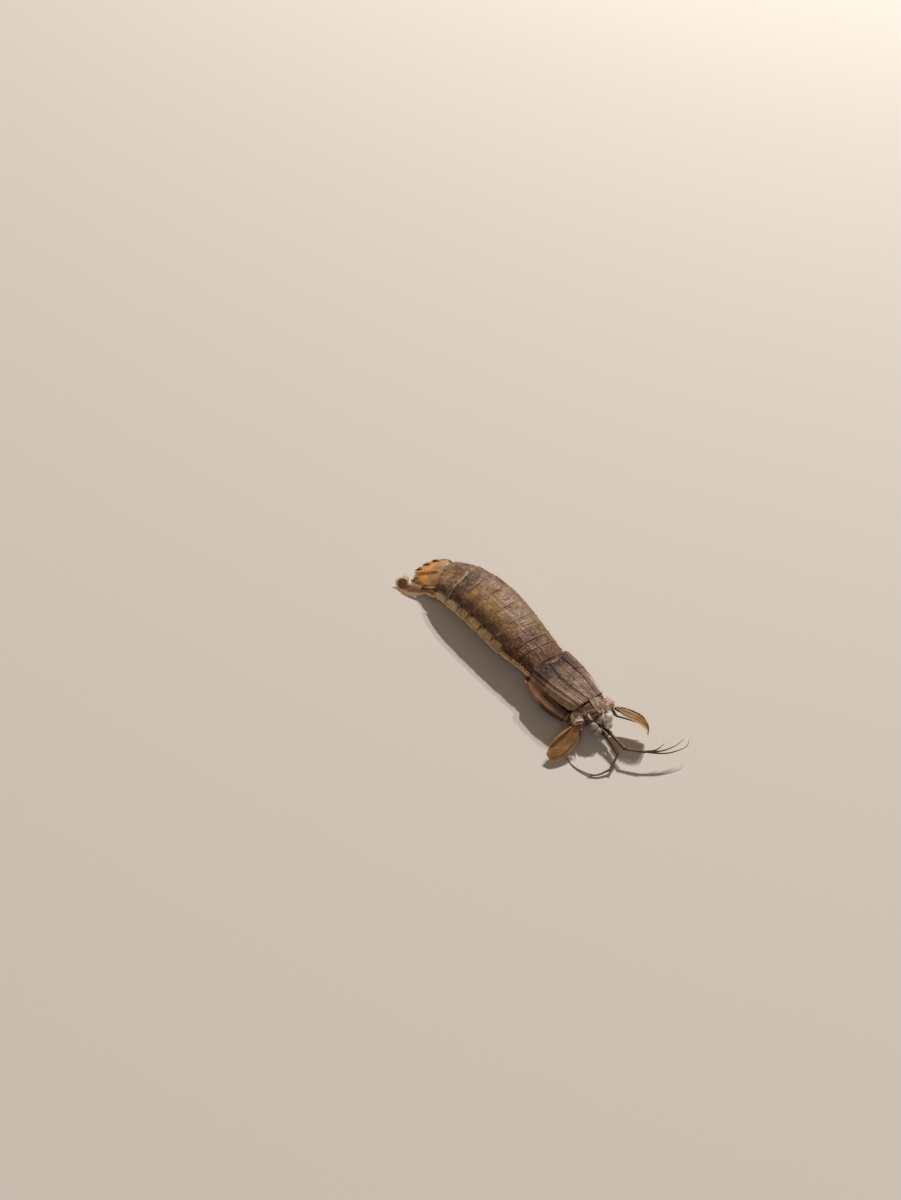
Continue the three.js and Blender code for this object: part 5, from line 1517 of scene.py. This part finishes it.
# Uropods: the tail fan's side blades. A ridged base ends in a forked spine; the outer blade has two
# joints and a row of movable spines, the inner one is a plain paddle, and both carry bristles.
UROPODS = {
    "left": {
        "base": [(-76.3, 9.8, 5.6), (-81.0, 6.8, 2.9)],
        "fork": [[(7.6, -118, 3)], [(3.6, -128, -8)]],
        "outer": [(-81.4, 6.6, 2.0), (-88.6, 2.4, 0.5), (-90.1, -5.1, 0.3)],
        "inner": [(-82.1, 5.6, 4.4), (-88.1, -1.1, 4.1)],
        "wide": (-0.7, 0.7, 0.0),
    },
    "right": {
        "base": [(-72.2, -7.2, 5.2), (-79.0, -9.2, 3.6)],
        "fork": [[(10.5, -176, -18)], [(3.6, -178, -20)]],
        "outer": [
            (-78.4, -8.6, 3.5), (-82.3, -11.8, 2.9), (-86.3, -14.0, 2.2), (-90.1, -14.5, 2.4),
            (-92.9, -13.7, 3.2), (-94.4, -13.2, 4.2),
        ],
        "inner": [(-79.4, -7.6, 2.6), (-89.0, -7.4, 1.2)],
        "wide": (-0.2, 0.69, 0.55),
    },
}
EXOPOD_HALF, ENDOPOD_HALF, BLADE_THICK = 3.3, 1.9, 0.45
# CREAM is pushed nearly to white, paler than the fan's own cream: painted light on the curled blades that
# face away from the lamps.
CREAM, MULBERRY, CHESTNUT = ink(255, 238, 204, 0.0), ink(206, 150, 116, 0.5), ink(150, 100, 60, 0.1)
uropod_finish = shell_finish(
    "uropod_shell", rough=0.42, mottle=0.18, grain=0.06, pits=0.06, glow=0.3, coat=0.2
)
FORK_STOPS = [[0, 1.2, 0.6], [0.6, 0.75, 0.45], [1, 0.08, 0.08]]
BLADE_STOPS = sized(
    EXOPOD_HALF, BLADE_THICK,
    (0, 0.40, 1.6), (0.12, 0.6, 1.6), (0.32, 0.82, 1.4), (0.54, 0.86, 1.2), (0.585, 0.62, 0.7),
    (0.64, 0.86, 1), (0.8, 1.05, 0.9), (0.93, 0.8, 0.7), (1, 0.12, 0.3),
)
PADDLE_STOPS = sized(
    ENDOPOD_HALF, BLADE_THICK, (0, 0.42, 1.2), (0.2, 0.7, 1), (0.55, 1, 1), (0.85, 0.8, 0.8), (1, 0.15, 0.4)
)


def base_relief(u, v):
    crests = 0.3 * (ridge(v, 0.25, 0.03) + ridge(v, 0.1, 0.03)) * np.sin(np.pi * u)
    return crests + 0.25 * cloud(v * 8, u * 5, 80) - 0.3 * ridge(u, 0.9, 0.02)


def base_colour(u, v):
    tone = mix(MULBERRY, PLUM, held(0.2 + 0.9 * cloud(v * 8, u * 5, 81)))
    return mix(tone, CREAM, 0.6 * ridge(v, 0.25, 0.03) + 0.6 * ridge(v, 0.1, 0.03))


def fork_colour(u, v):
    return mix(OCHRE, COFFEE, step(0.6, 0.95, u))


def blade_relief(u, v):
    x = np.cos(TURN * v)
    return (0.14 * ridge(x, 0.05, 0.07) + 0.12 * ridge(np.abs(x), 0.93, 0.07)) * faded(u, 0.08, 0.08)


def paddle_relief(u, v):
    return 0.1 * ridge(np.cos(TURN * v), 0, 0.1) * np.sin(np.pi * u)


def paddle_colour(u, v):
    tone = mix(OCHRE, MULBERRY, 0.6 * step(0.4, 0.9, u))
    return mix(tone, CREAM, 0.7 * step(0.75, 0.95, np.abs(np.cos(TURN * v))))


for side, fan in UROPODS.items():
    hip, wrist = (vec(*point) for point in fan["base"])
    root = hip * 0.4 + wrist * 0.6
    pieces = [limb(
        "base",
        [hip + (hip - wrist) * 0.3, hip, wrist],
        [[0, 2.0, 1.4], [0.3, 2.9, 1.9], [0.6, 2.8, 1.7], [0.9, 2.0, 1.2], [1, 1.1, 0.7]],
        base_colour,
        base_relief,
        rows=44,
        columns=40,
    )]
    for way in fan["fork"]:
        pieces.append(limb("fork", chain(root, way), FORK_STOPS, fork_colour, rows=20))
    finish(joined(f"uropod_base_shell_{side}", pieces), [f"uropod_base_{side}"], uropod_finish)
    blade_line = Limb(fan["outer"], BLADE_STOPS, fan["wide"])
    spiny = -1 if side == "right" else 1

    def blade_colour(u, v):
        x = np.cos(TURN * v)
        fog, fine = cloud(x * 3 + 2, u * 9, 82), cloud(x * 9, u * 22, 83)
        tone = mix(MULBERRY, OCHRE, held(0.3 + 0.8 * fog + 0.3 * fine))
        tone = mix(tone, PLUM, 0.6 * ridge(-x * spiny + 0.2 * fog, 0.3, 0.4) * (0.7 + 0.6 * fine))
        tone = mix(tone, CHESTNUT, step(0.61, 0.65, u) * 0.95)
        far = np.hypot((x * spiny + 0.05) * 1.02, (u - 0.79) / 0.19)
        tone = mix(tone, CREAM, step(0.85, 1.0, far) * step(0.62, 0.66, u) * 0.9)
        tone = mix(tone, CREAM, 0.85 * step(0.35, 0.6, x * spiny + 0.15 * fog) * (1 - step(0.6, 0.64, u)))
        return mix(tone, BLACK, 0.55 * ridge(u, 0.59, 0.01))

    pieces = [skin("outer", 90, 48, blade_line.form, blade_relief, blade_colour)]
    for n in range(8):
        line, tangent, across, half = blade_line.spot(0.14 + 0.42 * n / 7)
        out = across * spiny
        at = line + out * half * 0.9
        at[2] = max(at[2], 0.25)
        pieces.append(thorn(at, tangent + out * 0.6 + vec(0, 0, 0.25), 2.0 + 0.16 * n, 0.26, CREAM, HORN))
    for share, length in ((0.6, 2.2), (0.74, 2.8), (0.95, 2.6)):
        line, tangent, across, half = blade_line.spot(share)
        out = -across * spiny
        at = line + out * half * 0.8
        at[2] = max(at[2], 0.3)
        pieces.append(thorn(at, vec(0, 0, 1.2) + out * 0.6 + tangent * 0.4, length, 0.32, CREAM, RIM))
    finish(joined(f"uropod_outer_shell_{side}", pieces), [f"uropod_exopod_{side}"], uropod_finish)
    hairs = [
        fringe("fan_hair", blade_line, [-1, 1], (0.66, 0.99), 1.3, 90, lean=0.6, tone=CREAM),
        fringe("fan_hair_inner", blade_line, [-spiny], (0.16, 0.57), 1.2, 70, lean=0.8, tone=CREAM),
    ]
    paddle_line = Limb(fan["inner"], PADDLE_STOPS)
    paddle = skin(f"uropod_inner_shell_{side}", 40, 32, paddle_line.form, paddle_relief, paddle_colour)
    finish(paddle, [f"uropod_endopod_{side}"], uropod_finish)
    both, span = [-1, 1], (0.25, 0.99)
    hairs.append(fringe("fan_hair_paddle", paddle_line, both, span, 1.2, 80, lean=0.9, tone=CREAM, sag=0.05))
    finish(joined(f"uropod_fringe_{side}", hairs), [], hair_finish)

# Stage: a plain pale floor, soft studio light from behind the animal's left, and the camera held
# in front of it, looking down.
bpy.ops.object.select_all(action="DESELECT")
bpy.ops.mesh.primitive_plane_add(size=16)
floor = bpy.context.object
floor.name = "floor"
floor_finish = bpy.data.materials.new("pale_floor")
floor_finish.use_nodes = True
floor_shader = floor_finish.node_tree.nodes["Principled BSDF"]
floor_shader.inputs["Base Color"].default_value = (0.75, 0.72, 0.692, 1)
floor_shader.inputs["Roughness"].default_value = 0.8
floor_shader.inputs["Specular IOR Level"].default_value = 0.15
floor.data.materials.append(floor_finish)

CAMERA_PLACE = (vec(135.50, -227.76, 361.0) + WAIST) * MM
CAMERA_RIGHT = vec(0.6864, 0.7240, 0.0677)
CAMERA_DOWN = vec(0.5858, -0.4954, -0.6414)
CAMERA_LOOK = vec(-0.4309, 0.4799, -0.7642)
FOCAL_PIXELS, FRAME_HIGH, SENSOR_HIGH = 893.0, 1200.0, 24.0
camera_data = bpy.data.cameras.new("camera")
camera = bpy.data.objects.new("camera", camera_data)
bpy.context.scene.collection.objects.link(camera)
camera_data.sensor_fit = "VERTICAL"
camera_data.sensor_height = SENSOR_HIGH
camera_data.lens = SENSOR_HIGH * FOCAL_PIXELS / FRAME_HIGH
camera_data.clip_start = 0.01
camera.matrix_world = [
    [CAMERA_RIGHT[n], -CAMERA_DOWN[n], -CAMERA_LOOK[n], CAMERA_PLACE[n]] for n in range(3)
] + [[0, 0, 0, 1]]
camera.matrix_world.transpose()
bpy.context.scene.camera = camera

# name, azimuth and elevation in degrees, distance and size in metres, watts, colour
LAMPS = [
    ("key", 118.0, 42.0, 4.0, 0.14, 108.0, (1.0, 0.94, 0.86)),
    ("second", 108.0, 40.0, 4.0, 0.18, 44.0, (1.0, 0.94, 0.86)),
    ("fill", -60.0, 50.0, 3.0, 2.2, 7.0, (0.98, 0.97, 0.96)),
]
for name, azimuth, elevation, away, size, power, tone in LAMPS:
    data = bpy.data.lights.new(name, "AREA")
    data.shape, data.size, data.energy, data.color = "DISK", size, power, tone
    lamp = bpy.data.objects.new(name, data)
    bpy.context.scene.collection.objects.link(lamp)
    lamp.location = direction(azimuth, elevation) * away
    lamp.rotation_euler = (math.pi / 2 - math.radians(elevation), 0, math.radians(azimuth + 90))
world = bpy.data.worlds.new("studio")
bpy.context.scene.world = world
world.use_nodes = True
background = world.node_tree.nodes["Background"]
background.inputs["Color"].default_value = (0.95, 0.69, 0.47, 1)
background.inputs["Strength"].default_value = 0.17
bpy.context.scene.view_settings.view_transform = "Standard"
